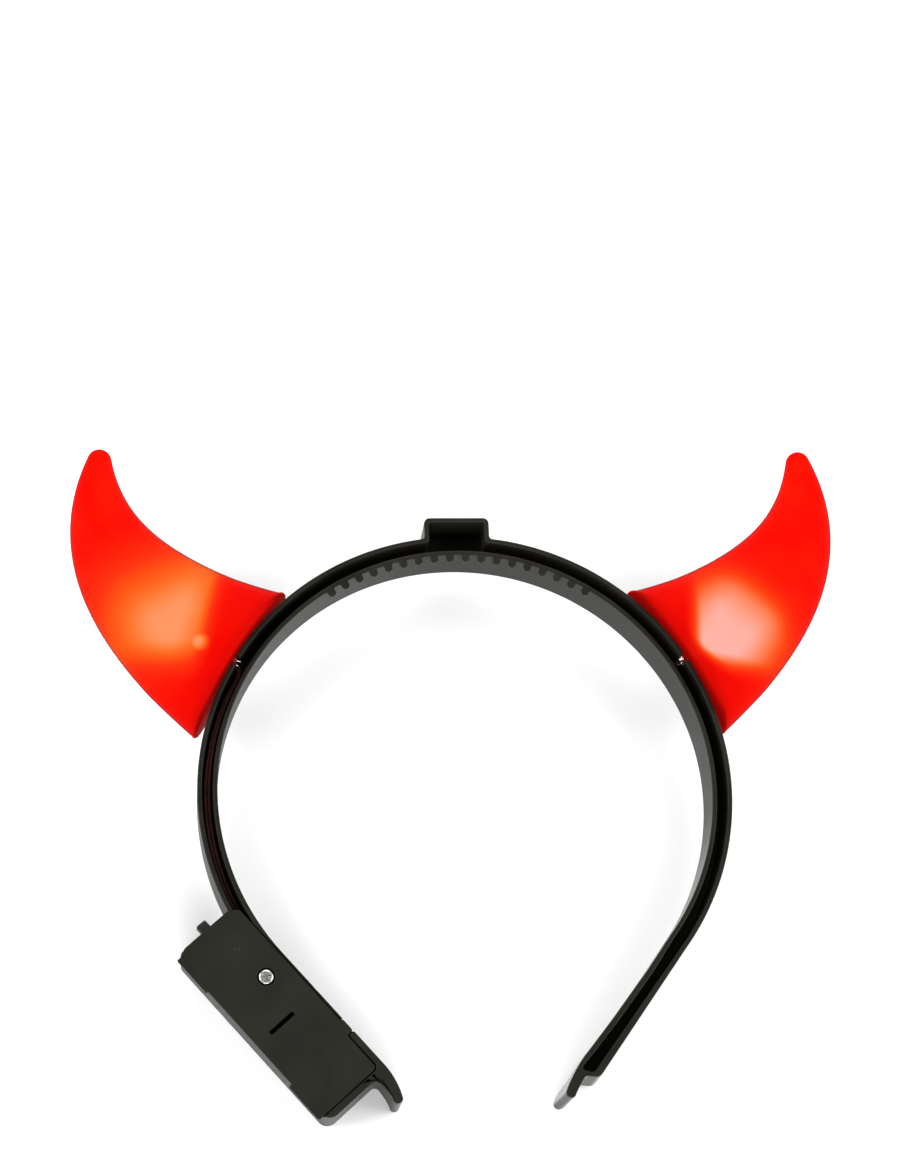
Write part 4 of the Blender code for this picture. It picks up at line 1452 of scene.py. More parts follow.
@dataclass
class BandMoulding:
    """Band, tab, tongues and battery case, which are one black moulding.

    The drawn fields tell how the right tongue's far edge is drawn out: where along the tongue it starts and
    how fast, which side of the tongue it leaves alone, and how far it goes (along, out).
    """

    finish: MouldedPlastic
    right_leg: RightLeg = field(default_factory=RightLeg)
    case: BatteryCase = field(default_factory=BatteryCase)
    floor: float = 0.0013
    floor_round: float = 0.0003
    tab_half: float = 0.0091
    tab_top: float = 0.0784
    tab_foot: float = math.radians(9.0)
    tab_split: Pair = (0.0755, 0.0748)
    notch_reach: float = math.radians(2.2)
    notch_width: float = 0.0023
    notch_depth: float = 0.0066
    notch_fade: float = 0.0003
    rim_round: float = 0.00032
    back_round: float = 0.0005
    hold: float = 0.00006
    drawn_start: float = 0.0440
    drawn_fade: float = 0.006
    drawn_side: float = 0.0722
    drawn_side_fade: float = 0.0012
    drawn_shift: Pair = (0.0017, -0.0008)

    def build(self) -> bpy.types.Object:
        """Builds the moulding.

        The skin is a profile carried along the outlines: up the outer wall, over the rim, down into the
        channel and on to its floor, with a rounded edge at each turn.

        Returns:
            The piece, which stands for the node of the same moulding.
        """
        walls = self._walls()
        outer, inner, top = (np.concatenate(part) for part in (walls.outer, walls.inner, walls.top))
        back_in, back_up = edge_arc(self.back_round)
        rim_in, rim_down = edge_arc(self.rim_round)
        hold, floor, turn = self.hold, self.floor, self.floor_round
        loops = [lifted(widened(outer, -back_in[-1] - hold), 0.0)]
        loops += [lifted(widened(outer, -i), u) for i, u in zip(back_in[::-1], back_up[::-1])]
        loops.append(lifted(outer, self.back_round + hold))
        loops.append(lifted(outer, top - self.rim_round - hold))
        loops += [lifted(widened(outer, -i), top - d) for i, d in zip(rim_in, rim_down)]
        loops.append(lifted(widened(outer, -rim_in[-1] - hold), top))
        loops.append(lifted(widened(inner, rim_in[-1] + hold), top))
        loops += [lifted(widened(inner, i), top - d) for i, d in zip(rim_in[::-1], rim_down[::-1])]
        loops.append(lifted(inner, top - self.rim_round - hold))
        loops.append(lifted(inner, floor + turn))
        loops.append(lifted(widened(inner, -turn / 3), floor + turn / 3))
        loops.append(lifted(widened(inner, -turn), floor))
        points = self._drawn_out(np.stack(loops))
        piece = skin("band_moulding", POSE.place(points)[None], sharp=38.0)
        return hand_over(piece, self.finish.material(), nodes=["headband"], flat_faces=True)

    def _drawn_out(self, points: Array) -> Array:
        """Draws the right tongue's far edge out a little longer than its near edge, as the photo shows.

        The shift grows with the depth behind the rim and with smooth_step of the place along the tongue.

        Args:
            points: array (loops, n, 3) in the band's frame.

        Returns:
            The same array, with the tongue's points moved.
        """
        rows = RIGHT_LEG.rows(points[..., :2])
        share = smooth_step((rows[..., 0] - self.drawn_start) / self.drawn_fade)
        share = share * smooth_step((self.drawn_side - rows[..., 1]) / self.drawn_side_fade)
        share = share * (points[..., 0] > 0.0)
        share = share * (1.0 - points[..., 2] / RING.rim)
        moved = rows + share[..., None] * np.array(self.drawn_shift)
        result = points.copy()
        chosen = share > 0.0
        result[chosen, :2] = RIGHT_LEG.points(moved)[chosen]
        return result

    def _notch_drop(self, angles: Array) -> Array:
        """Depth of a wire notch: a round-shouldered slot, by smooth_step of the distance to its side.

        Args:
            angles: angles from the top.

        Returns:
            The depth at each angle.
        """
        distance = np.abs(np.abs(angles) - RING.notch) * RING.outside
        reach = (self.notch_width + self.notch_fade) / 2
        return self.notch_depth * smooth_step((reach - distance) / self.notch_fade)

    def _walls(self) -> Walls:
        """The matched outlines, anticlockwise from the right leg's bend.

        Returns:
            The outlines of the whole moulding.
        """
        walls = Walls()
        self.right_leg.add_to(walls, RING.rim)
        self._ring_outside(walls, RIGHT_LEG.turn, self.tab_foot)
        self._tab(walls)
        meet_out = LEFT_LEG.turn - math.asin(self.case.top / RING.outside)
        meet_in = LEFT_LEG.turn - math.asin((self.case.top + RING.wall) / RING.channel_out)
        self._ring_outside(walls, -self.tab_foot, meet_out, meet_in)
        self.case.add_to(walls, (meet_out, meet_in), RING.rim)
        self._ring_inside(walls)
        return walls

    def _ring_outside(
        self, walls: Walls, start: float, end: float, inner_end: float | None = None
    ) -> None:
        """Outer wall of the ring between two angles, with its wire notch.

        Args:
            walls: the outlines so far.
            start: first angle from the top.
            end: last angle.
            inner_end: last angle at the channel, where it differs.
        """
        reach = self.notch_reach * (1 if end > start else -1)
        middle = math.copysign(RING.notch, start if start > 0 else end)
        low, high = middle - reach, middle + reach
        last = end if inner_end is None else inner_end
        for first, stop, inner_stop, count in (
            (start, low, low, 150),
            (low, high, high, 90),
            (high, end, last, 150),
        ):
            outline = arc(RING.outside, first, stop)
            channel = arc(RING.channel_out, first, inner_stop)
            angles = np.linspace(first, stop, count)
            walls.add(outline, channel, count, RING.rim - self._notch_drop(angles))

    def _tab(self, walls: Walls) -> None:
        """The raised box at the top, as two mirrored halves of a side and a top.

        Args:
            walls: the outlines so far.
        """
        half, top = self.tab_half, self.tab_top
        inner_half, inner_top = half - RING.wall, top - RING.wall
        split, inner_split = self.tab_split
        foot = math.sqrt(RING.outside**2 - half**2)
        inner_foot = math.sqrt(RING.channel_out**2 - inner_half**2)
        start = ring_points(RING.outside, np.array(self.tab_foot))
        inner_start = ring_points(RING.channel_out, np.array(self.tab_foot))
        edge, inner_edge = (half, split, 0), (inner_half, inner_split, 0)
        side = rounded([(*start, 0), (half, foot, 0.001), edge])
        inner_side = rounded([(*inner_start, 0), (inner_half, inner_foot, 0.001), inner_edge])
        lid = rounded([edge, (half, top, 0.0016), (0, top, 0)])
        inner_lid = rounded([inner_edge, (inner_half, inner_top, 0.0007), (0, inner_top, 0)])
        mirror = np.array((-1.0, 1.0))
        walls.add(side, inner_side, 40, RING.rim)
        walls.add(lid, inner_lid, 60, RING.rim)
        walls.add(lid[::-1] * mirror, inner_lid[::-1] * mirror, 60, RING.rim)
        walls.add(side[::-1] * mirror, inner_side[::-1] * mirror, 40, RING.rim)

    def _ring_inside(self, walls: Walls) -> None:
        """Inner wall of the ring from the case round to the right leg's bend.

        Args:
            walls: the outlines so far.
        """
        start = LEFT_LEG.turn - math.asin(self.case.meet / RING.inside)
        inner_start = LEFT_LEG.turn - math.asin(self.case.meet / RING.channel_in)
        outline = arc(RING.inside, start, RIGHT_LEG.turn, 500)
        channel = arc(RING.channel_in, inner_start, RIGHT_LEG.turn, 500)
        walls.add(outline, channel, 480, RING.rim)


@dataclass
class GripComb:
    """Round-ended teeth on the inner edge of the band, flush with its rim."""

    finish: MouldedPlastic
    count: int = 18
    pitch: float = math.radians(3.77)
    tip_radius: float = 0.0653
    root_radius: float = 0.0677
    width: float = 0.0021
    fillet: float = 0.0005
    depth: float = 0.0012
    rounding: float = 0.00028

    def build(self) -> bpy.types.Object:
        """Builds all the teeth as one piece.

        One tooth is a stack of U-shaped loops: across = h cos a and out = centre - h sin a round its tip,
        with h half the width less the inset of its rounded edges, and a quarter round of the fillet on each
        side where it leaves the band. The teeth are that stack at each tooth's angle.

        Returns:
            The piece.
        """
        inset, drop = edge_arc(self.rounding)
        low = RING.rim - self.depth
        heights = np.concatenate([[low], low + drop[::-1], RING.rim - drop, [RING.rim]])
        insets = np.concatenate([[inset[-1] + HOLD], inset[::-1], inset, [inset[-1] + HOLD]])
        half = (self.width / 2 - insets)[:, None]
        turn = np.linspace(0.0, math.pi, 15)[None]
        centre = self.tip_radius + self.width / 2
        root = np.full_like(half, self.root_radius)
        bend = np.linspace(0.0, math.pi / 2, 6)[None]
        flare = half + self.fillet * (1.0 - np.sin(bend))
        leave = RING.inside - self.fillet * (1.0 - np.cos(bend)) + 0.0 * half
        across = [half + self.fillet, flare, half * np.cos(turn), -flare[:, ::-1], -half - self.fillet]
        across = np.concatenate(across, axis=1)
        out = np.concatenate([root, leave, centre - half * np.sin(turn), leave[:, ::-1], root], axis=1)
        angles = (np.arange(self.count) - (self.count - 1) / 2) * self.pitch
        radial = ring_points(1.0, angles)[:, None, None]
        sideways = ring_points(1.0, angles + math.pi / 2)[:, None, None]
        flat = radial * out[None, :, :, None] + sideways * across[None, :, :, None]
        height = np.broadcast_to(heights[None, :, None, None], (*flat.shape[:3], 1))
        piece = skin("grip_teeth", POSE.place(np.concatenate([flat, height], axis=-1)))
        return hand_over(piece, self.finish.material(), flat_faces=True)


# Battery lid, screw and switch


@dataclass
class BatteryLid:
    """Flat lid of the battery case, with its finger slot, screw recess and snap tab.

    The outline and the centres are in the left leg's frame. Its rows are (along, out, rounding).
    """

    finish: MouldedPlastic
    top: float = RING.rim
    thickness: float = 0.0013
    lower_edge: float = 0.0001
    upper_edge: float = 0.00022
    slot_centre: Pair = (0.0141, 0.0799)
    slot_size: Pair = (0.0012, 0.0082)
    slot_corner: float = 0.0003
    screw_centre: Pair = SCREW_PLACE
    recess_radius: float = 0.0024
    recess_depth: float = 0.0010
    mouth: float = 0.0002
    outline: tuple[Triple, ...] = (
        (-0.0177, 0.0703, 0.0004),
        (-0.0177, 0.0875, 0.0022),
        (-0.0166, 0.0875, 0.0001),
        (-0.0166, 0.0893, 0.00036),
        (-0.0050, 0.0893, 0.00036),
        (-0.0050, 0.0887, 0.0001),
        (0.0276, 0.0887, 0.0001),
        (0.0276, 0.0897, 0.00036),
        (0.0393, 0.0897, 0.0006),
        (0.0393, 0.0694, 0.0011),
        (0.0280, 0.0694, 0.0001),
        (0.0277, 0.0674, 0.00036),
        (0.0241, 0.0674, 0.00036),
        (0.0238, 0.0681, 0.0001),
        (-0.0158, 0.0681, 0.0004),
    )

    def build(self) -> bpy.types.Object:
        """Builds the lid: a slab with rounded edges, cut by flared cutters, which round its openings too.

        Returns:
            The piece.
        """
        outline = rounded(LEFT_LEG.corners(self.outline), closed=True)
        plate = slab(outline, self.top - self.thickness, self.top, self.lower_edge, self.upper_edge)
        lid = skin("case_lid", POSE.place(plate))
        carve(lid, [self._slot(), self._recess()])
        return hand_over(lid, self.finish.material(), nodes=["battery_lid"], flat_faces=True)

    def _slot(self) -> bpy.types.Object:
        """Cutter of the finger slot: a rounded bar whose mouth flares at the lid's upper face.

        Returns:
            The cutter.
        """
        along, out = self.slot_centre
        half_wide, half_long = self.slot_size[0] / 2, self.slot_size[1] / 2
        rows = [
            (along - half_wide, out - half_long, self.slot_corner),
            (along - half_wide, out + half_long, self.slot_corner),
            (along + half_wide, out + half_long, self.slot_corner),
            (along + half_wide, out - half_long, self.slot_corner),
        ]
        outline = rounded(LEFT_LEG.corners(rows), closed=True)
        return self._flared("slot_cutter", outline, self.top - self.thickness - 0.001)

    def _recess(self) -> bpy.types.Object:
        """Cutter of the screw's recess: a blind round hole with a flared mouth.

        Returns:
            The cutter.
        """
        centre = LEFT_LEG.points(np.array(self.screw_centre))
        angles = np.linspace(0.0, 2 * math.pi, 64, endpoint=False)
        outline = centre + self.recess_radius * np.stack([np.cos(angles), np.sin(angles)], axis=1)
        return self._flared("recess_cutter", outline, self.top - self.recess_depth)

    def _flared(self, name: str, outline: Array, low: float) -> bpy.types.Object:
        """Cutter of an outline whose sides curve outwards by the mouth's rounding, just below the top.

        Args:
            name: name of the cutter.
            outline: closed anticlockwise outline.
            low: height of its lower end.

        Returns:
            The cutter.
        """
        inset, drop = edge_arc(self.mouth)
        loops = [lifted(outline, low)]
        loops += [lifted(widened(outline, i), self.top - d) for i, d in zip(inset, drop)]
        loops.append(lifted(widened(outline, inset[-1] + 0.0001), self.top + 0.0005))
        return skin(name, POSE.place(np.stack(loops)[None]))


@dataclass
class LidScrew:
    """Small cross-head screw with a low domed head."""

    top: float = 0.0145
    head_radius: float = 0.00195
    head_height: float = 0.0008
    dome: float = 0.45
    flat_radius: float = 0.0006
    shank_radius: float = 0.0011
    length: float = 0.0085
    thread_depth: float = 0.00012
    thread_pitch: float = 0.0007
    centre: Pair = SCREW_PLACE
    cross_turn: float = math.radians(12.0)
    cross_half: Pair = (0.0014, 0.0003)
    cross_taper: float = 0.55
    cross_depth: float = 0.0008

    def build(self) -> bpy.types.Object:
        """Builds the screw: a turned profile with a thread of shallow rings, and a cross recess.

        The rings follow shank radius - depth (1 + cos(2 pi h / pitch)) / 2.

        Returns:
            The piece.
        """
        place = LEFT_LEG.points(np.array(self.centre))
        angles = np.linspace(0.0, math.pi / 2, 8)
        radius = self.head_radius * (1.0 - self.dome + self.dome * np.sin(angles))
        drop = self.head_height * self.dome * (1.0 - np.cos(angles))
        under = self.top - self.head_height
        heights = np.linspace(under - 0.0002, self.top - self.length, 60)
        waves = 0.5 + 0.5 * np.cos(heights * 2 * math.pi / self.thread_pitch)
        profile = np.concatenate(
            [
                [[POLE, self.top], [self.flat_radius, self.top]],
                np.stack([radius, self.top - drop], axis=1),
                [[self.head_radius, under + 0.00005], [self.head_radius - 0.00005, under]],
                [[self.shank_radius, under]],
                np.stack([self.shank_radius - self.thread_depth * waves, heights], axis=1),
                [[POLE, self.top - self.length - self.shank_radius]],
            ]
        )
        stack = turned(profile) + np.array((*place, 0.0))
        screw = skin("case_screw", POSE.place(stack), sharp=50.0)
        carve(screw, [self._arm(place, turn) for turn in (0.0, math.pi / 2)])
        centre = POSE.place(np.array((*place, self.top)))
        steel = TurnedSteel("plated_steel", tuple(float(c) for c in centre))
        return hand_over(screw, steel.material(), nodes=["lid_screw"])

    def _arm(self, place: Array, turn: float) -> bpy.types.Object:
        """Cutter of one arm of the cross, which narrows downwards.

        Args:
            place: the screw's centre in the ring's plane.
            turn: how far this arm is turned from the first one.

        Returns:
            The cutter.
        """
        long, wide = self.cross_half
        rows = np.array([(-long, -wide), (long, -wide), (long, wide), (-long, wide)])
        angle = self.cross_turn + turn
        across = np.array([[math.cos(angle), math.sin(angle)], [-math.sin(angle), math.cos(angle)]])
        outline = rows @ across + place
        low = place + (outline - place) * self.cross_taper
        loops = np.stack([lifted(low, self.top - self.cross_depth), lifted(outline, self.top + 0.0004)])
        return skin(f"cross_cutter_{round(math.degrees(turn))}", POSE.place(loops[None]))


@dataclass
class SlideSwitch:
    """Knob of the slide switch, on the plate that keeps it in the case."""

    finish: MouldedPlastic
    low: float = 0.0100
    high: float = 0.0127
    face: float = -0.0161
    reach: float = -0.0203
    knob: Pair = (0.0764, 0.0795)
    plate: Pair = (0.07485, 0.08105)
    plate_thickness: float = 0.0012
    rounding: float = 0.00025

    def build(self) -> bpy.types.Object:
        """Builds the knob and plate as one slab with rounded edges.

        Returns:
            The piece, which rides on the switch's own body.
        """
        face, back = self.face, self.face + self.plate_thickness
        rows = [
            (self.reach, self.knob[0], 0.0005),
            (self.reach, self.knob[1], 0.0005),
            (face, self.knob[1], 0.0001),
            (face, self.plate[1], 0.0002),
            (back, self.plate[1], 0.0002),
            (back, self.plate[0], 0.0002),
            (face, self.plate[0], 0.0002),
            (face, self.knob[0], 0.0001),
        ]
        outline = rounded(LEFT_LEG.corners(rows), closed=True)
        stack = slab(outline, self.low, self.high, self.rounding, self.rounding)
        knob = skin("switch_slider", POSE.place(stack))
        return hand_over(knob, self.finish.material(), SWITCH_BODY, ["switch_knob"])


# Horns, lamps and leads


@dataclass
class Horn:
    """Hollow curved horn whose base is hollowed to sit on the band.

    Rows of sections hold: height over the band, lean towards the top, half width, half depth. The set turn
    is how far the glued horn leans towards the top beside its place in the CAD.
    """

    side: Side
    finish: LitRedPlastic
    set_turn: float = 0.0
    hole_radius: float = 0.0032
    saddle_fade: float = 0.014
    rim_round: float = 0.0009
    rim_clear: float = 1.25
    wall: float = 0.0012
    tip_end: float = math.radians(88.5)
    nudge: float = 0.02
    around: int = 96
    sections: tuple[tuple[float, float, float, float], ...] = (
        (0.0003, -0.0005, 0.0240, 0.0168),
        (0.0037, -0.0008, 0.0230, 0.0166),
        (0.0092, -0.0008, 0.0215, 0.0162),
        (0.0167, -0.0001, 0.0197, 0.0154),
        (0.0257, 0.0014, 0.0176, 0.0141),
        (0.0358, 0.0043, 0.0151, 0.0125),
        (0.0462, 0.0094, 0.0120, 0.0104),
        (0.0560, 0.0178, 0.0081, 0.0076),
        (0.0645, 0.0308, 0.0033, 0.0033),
    )

    def through(self, along: Array) -> Array:
        """Smooth rows on the curve of fifth degree that lies nearest to the table's rows.

        Args:
            along: places along the table, from 0 at its first row, as (n,).

        Returns:
            Array (n, 4) of rows like the table's.
        """
        rows = np.array(self.sections)
        factors = np.polyfit(np.arange(len(rows)), rows, 5)
        powers = along[:, None] ** np.arange(5, -1, -1)[None]
        return powers @ factors

    def _loops(self) -> Array:
        """Loops of the outer skin, from the lamp hole over the base's rim to the tip.

        The base is bent to a saddle, -lean^2 / (2 radius), which fades out up the horn.

        Returns:
            Array (loops, around, 3) of (height, lean, depth).
        """
        turn = np.linspace(0.0, 2 * math.pi, self.around, endpoint=False)
        circle = np.stack([np.cos(turn), np.sin(turn)])
        floor = self.sections[0][0]
        loops = np.concatenate([self._base(circle), self._sides(circle)])
        fade = np.clip(1.0 - (loops[..., 0] - floor) / self.saddle_fade, 0.0, 1.0)
        loops[..., 0] -= fade * loops[..., 1] ** 2 / (2 * RING.saddle)
        return loops

    def _base(self, circle: Array) -> Array:
        """Loops of the flat base, spread evenly from the lamp hole outwards, and of its round rim.

        Args:
            circle: cosines and sines of the turn about the middle line, as (2, around).

        Returns:
            Array (loops, around, 3) of (height, lean, depth).
        """
        cosine, sine = circle[:1], circle[1:]
        floor, lean, half_width, half_depth = self.sections[0]
        offset = RING.outside * (RING.horn - RING.notch)
        share = np.linspace(0.0, 1.0, 6)[:, None]
        rim_wide, rim_deep = half_width - self.rim_round, half_depth - self.rim_round
        hole = offset + self.hole_radius * cosine
        across = (1 - share) * hole + share * (lean + rim_wide * cosine)
        deep = ((1 - share) * self.hole_radius + share * rim_deep) * sine
        base = np.stack([np.full_like(across, floor), across, deep], axis=-1)
        angle = np.linspace(0.0, math.pi / 2, 9)[1:, None]
        inset = self.rim_round * (1.0 - np.sin(angle))
        height = np.broadcast_to(floor + self.rim_round * (1.0 - np.cos(angle)), (8, self.around))
        rim = [height, lean + (half_width - inset) * cosine, (half_depth - inset) * sine]
        return np.concatenate([base, np.stack(rim, axis=-1)])

    def _sides(self, circle: Array) -> Array:
        """Loops from above the rim to the tip.

        A section is the ellipse (half width cos a, half depth sin a), square to the horn's middle line,
        whose lean is taken in by (height / saddle fade) near the base. The tip is a ball that touches the
        last stretch's cone: its radius is the last half width / cos taper.

        Args:
            circle: cosines and sines of the turn about the middle line, as (2, around).

        Returns:
            Array (loops, around, 3) of (height, lean, depth).
        """
        floor = self.sections[0][0]
        last = len(self.sections) - 1.0
        along = np.linspace(0.0, last, 90)
        rows = self.through(along)
        ahead = self.through(np.clip(along + self.nudge, 0.0, last))
        behind = self.through(np.clip(along - self.nudge, 0.0, last))
        axes = (ahead - behind)[:, :2]
        axes[:, 1] *= np.clip((rows[:, 0] - floor) / self.saddle_fade, 0.0, 1.0)
        axes /= np.linalg.norm(axes, axis=1, keepdims=True)
        keep = rows[:, 0] > floor + self.rim_round * self.rim_clear
        sides = self._ring(rows[keep], axes[keep], rows[keep, 2:3], rows[keep, 3:4], circle)
        travel = np.linalg.norm(rows[-1, :2] - rows[-2, :2])
        taper = math.atan2(rows[-2, 2] - rows[-1, 2], travel)
        ball = rows[-1, 2] / math.cos(taper)
        lift = np.linspace(taper, self.tip_end, 14)[1:]
        tip = np.broadcast_to(rows[-1], (len(lift), 4)).copy()
        axis = np.broadcast_to(axes[-1], (len(lift), 2))
        small = (ball * np.cos(lift))[:, None]
        tip[:, :2] += axis * (ball * (np.sin(lift) - math.sin(taper)))[:, None]
        return np.concatenate([sides, self._ring(tip, axis, small, small, circle)])

    @staticmethod
    def _ring(rows: Array, axes: Array, wide: Array, deep: Array, circle: Array) -> Array:
        """Ellipses about (height, lean) rows, each in the plane square to its axis.

        Args:
            rows: rows that begin with (height, lean), as (n, 2 or more).
            axes: direction of the middle line at each row, as (n, 2).
            wide: half width of each, as (n, 1).
            deep: half depth of each, as (n, 1).
            circle: cosines and sines of the turn about the middle line, as (2, around).

        Returns:
            Array (n, around, 3) of (height, lean, depth).
        """
        cosine, sine = circle[:1], circle[1:]
        height = rows[:, :1] - axes[:, 1:] * wide * cosine
        lean = rows[:, 1:2] + axes[:, :1] * wide * cosine
        return np.stack([height, lean, deep * sine], axis=-1)

    def _place(self, points: Array) -> Array:
        """Takes points to the band's frame: height along the horn's direction, and lean across it.

        Args:
            points: array whose last axis is (height, lean, depth).

        Returns:
            Array whose last axis is (x, y, z) in the band's frame.
        """
        radial = ring_points(1.0, np.array(RING.horn))
        along = ring_points(1.0, np.array(RING.horn - self.set_turn))
        across = ring_points(1.0, np.array(RING.horn - self.set_turn - math.pi / 2))
        flat = radial * RING.outside + along * points[..., :1] + across * points[..., 1:2]
        flat = flat * np.array((float(self.side.value), 1.0))
        return np.concatenate([flat, RING.middle + points[..., 2:]], axis=-1)

    def build(self) -> bpy.types.Object:
        """Builds the horn: one skin from the lamp hole to the tip, thickened inwards.

        Returns:
            The piece.
        """
        stack = POSE.place(self._place(self._loops()))[None]
        horn = skin(f"horn_shell_{self.side.label}", stack, start_cap=False, sharp=60.0)
        wall = horn.modifiers.new("wall", "SOLIDIFY")
        wall.thickness = self.wall
        wall.offset = -1.0
        wall.use_even_offset = True
        horn.visible_diffuse = False
        return hand_over(horn, self.finish.material(), nodes=[f"horn_{self.side.label}"])


@dataclass
class Lamp:
    """Round-headed lamp on its collar, pointing up the horn."""

    side: Side
    finish: LampResin
    radius: float = 0.0025
    collar_radius: float = 0.0029
    foot: float = 0.0009
    collar: float = 0.0030
    edge: float = 0.0002
    height: float = 0.0122

    def build(self) -> bpy.types.Object:
        """Builds the lamp from a turned profile: domed head, body, and a wider collar at its foot.

        Returns:
            The piece.
        """
        dome = np.linspace(0.02, math.pi / 2, 9)
        drop = self.radius * (1 - np.cos(dome))
        head = np.stack([self.radius * np.sin(dome), self.height - drop], axis=1)
        top, edge = self.foot + self.collar, self.edge
        foot = [
            (self.radius, top + edge),
            (self.collar_radius - edge, top),
            (self.collar_radius, top - edge),
            (self.collar_radius, self.foot + edge),
            (self.collar_radius - edge, self.foot),
            (POLE, self.foot),
        ]
        stack = turned(np.concatenate([head, foot]), 48)
        sign = float(self.side.value)
        up = np.array((sign * math.sin(RING.horn), math.cos(RING.horn), 0.0))
        side = np.array((-up[1], up[0], 0.0))
        offset = RING.outside * (RING.horn - RING.notch)
        centre = up * RING.outside + sign * side * offset + np.array((0.0, 0.0, RING.middle))
        axes = np.stack([side, np.array((0.0, 0.0, 1.0)), up])
        lamp = skin(f"lamp_{self.side.label}", POSE.place(stack @ axes + centre))
        lamp.visible_diffuse = False
        return hand_over(lamp, self.finish.material(), nodes=[f"led_{self.side.label}"])


@dataclass
class Lead:
    """Pair of thin sleeved wires lying side by side in the band's channel, with a slow twist.

    The turns are angles about the ring's middle: how far from the left leg the lead joins the channel, the
    step between its points, how long it takes to rise to the notch, and how far from it the lead leaves.
    """

    side: Side
    finish: WireSleeve
    rise: float
    notch_rise: float = 0.0092
    envelope: float = 0.00095
    lane: float = 0.07005
    case_entry: Pair = (-0.0080, 0.0718)
    join_turn: float = math.radians(13.0)
    point_turn: float = math.radians(5.0)
    rise_turn: float = math.radians(60.0)
    leave_turn: float = math.radians(3.0)
    pitch: float = 0.34
    first_twist: float = math.radians(65.0)
    around: int = 14

    def route(self) -> Array:
        """Middle line of the lead, from the case, along the channel and out through the notch.

        Its height goes from the lead's own to the notch's by smooth_step of the angle.

        Returns:
            Array (n, 3) in the band's frame.
        """
        notch = float(self.side.value) * RING.notch
        turn = self.leave_turn
        start = LEFT_LEG.turn + self.join_turn
        stop = notch - turn
        angles = np.linspace(start, stop, round((stop - start) / self.point_turn) + 1)
        ease = smooth_step((angles - stop + self.rise_turn) / self.rise_turn)
        heights = self.rise + (self.notch_rise - self.rise) * ease
        lane = lifted(ring_points(self.lane, angles), heights)
        first = lifted(LEFT_LEG.points(np.array([self.case_entry])), self.rise)
        ends = np.array(
            (
                (notch - turn * 0.45, self.lane + 0.0002),
                (notch - turn * 0.10, self.lane + 0.0009),
                (notch, self.lane + 0.0020),
                (notch, RING.outside + 0.0006),
            )
        )
        last = lifted(ring_points(ends[:, 1], ends[:, 0]), self.notch_rise)
        return np.concatenate([first, lane, last])

    def build(self) -> bpy.types.Object:
        """Builds the lead.

        Each of the two wires runs half an envelope off the smoothed route, at the turn 2 pi s / pitch.

        Returns:
            The piece.
        """
        line = smoothed(self.route(), 0.0006)
        side, up = frames(line)
        steps = np.linalg.norm(np.diff(line, axis=0), axis=1)
        left = np.concatenate([[0.0], np.cumsum(steps)]) - steps.sum()
        radius = self.envelope / 2
        pair = []
        for phase in (0.0, math.pi):
            twist = (2 * math.pi * left / self.pitch + self.first_twist + phase)[:, None]
            offset = np.cos(twist) * side + np.sin(twist) * up
            pair.append(tube(line + offset * radius, radius * 0.98, self.around))
        lead = skin(f"lead_{self.side.label}", POSE.place(np.stack(pair)), sharp=60.0)
        return hand_over(lead, self.finish.material(), nodes=[f"wire_{self.side.label}"])


@dataclass
class LampLegs:
    """The lamp's two thin legs, which come out of the lead, over the notch and into the horn.

    Rows of a path hold: distance from the ring's middle, place along the ring from the notch's middle, and
    height.
    """

    side: Side
    finish: PlatedWire
    radius: float = 0.00018
    paths: tuple[tuple[Triple, ...], ...] = (
        (
            (0.0700, -0.0006, 0.0096),
            (0.0703, -0.0004, 0.0120),
            (0.0711, -0.0002, 0.0136),
            (0.0721, 0.0000, 0.0139),
            (0.0728, 0.0001, 0.0128),
            (0.0729, 0.0001, 0.0112),
            (0.0733, 0.0001, 0.0098),
            (0.0739, 0.0001, 0.0085),
        ),
        (
            (0.0702, 0.0006, 0.0100),
            (0.0707, 0.0007, 0.0114),
            (0.0716, 0.0006, 0.0122),
            (0.0725, 0.0005, 0.0120),
            (0.0729, 0.0005, 0.0110),
            (0.0733, 0.0004, 0.0098),
            (0.0739, 0.0004, 0.0082),
        ),
    )

    def build(self) -> bpy.types.Object:
        """Builds both legs as thin tubes along smoothed paths.

        Returns:
            The piece.
        """
        sign = float(self.side.value)
        tubes = []
        for path in self.paths:
            rows = np.array(path)
            flat = ring_points(rows[:, 0], sign * (RING.notch + rows[:, 1] / RING.outside))
            line = smoothed(lifted(flat, rows[:, 2]), 0.0001)
            tubes.append(tube(spaced(line, 60), self.radius, 10))
        legs = skin(f"lamp_legs_{self.side.label}", POSE.place(np.stack(tubes)), sharp=60.0)
        return hand_over(legs, self.finish.material())


# The studio


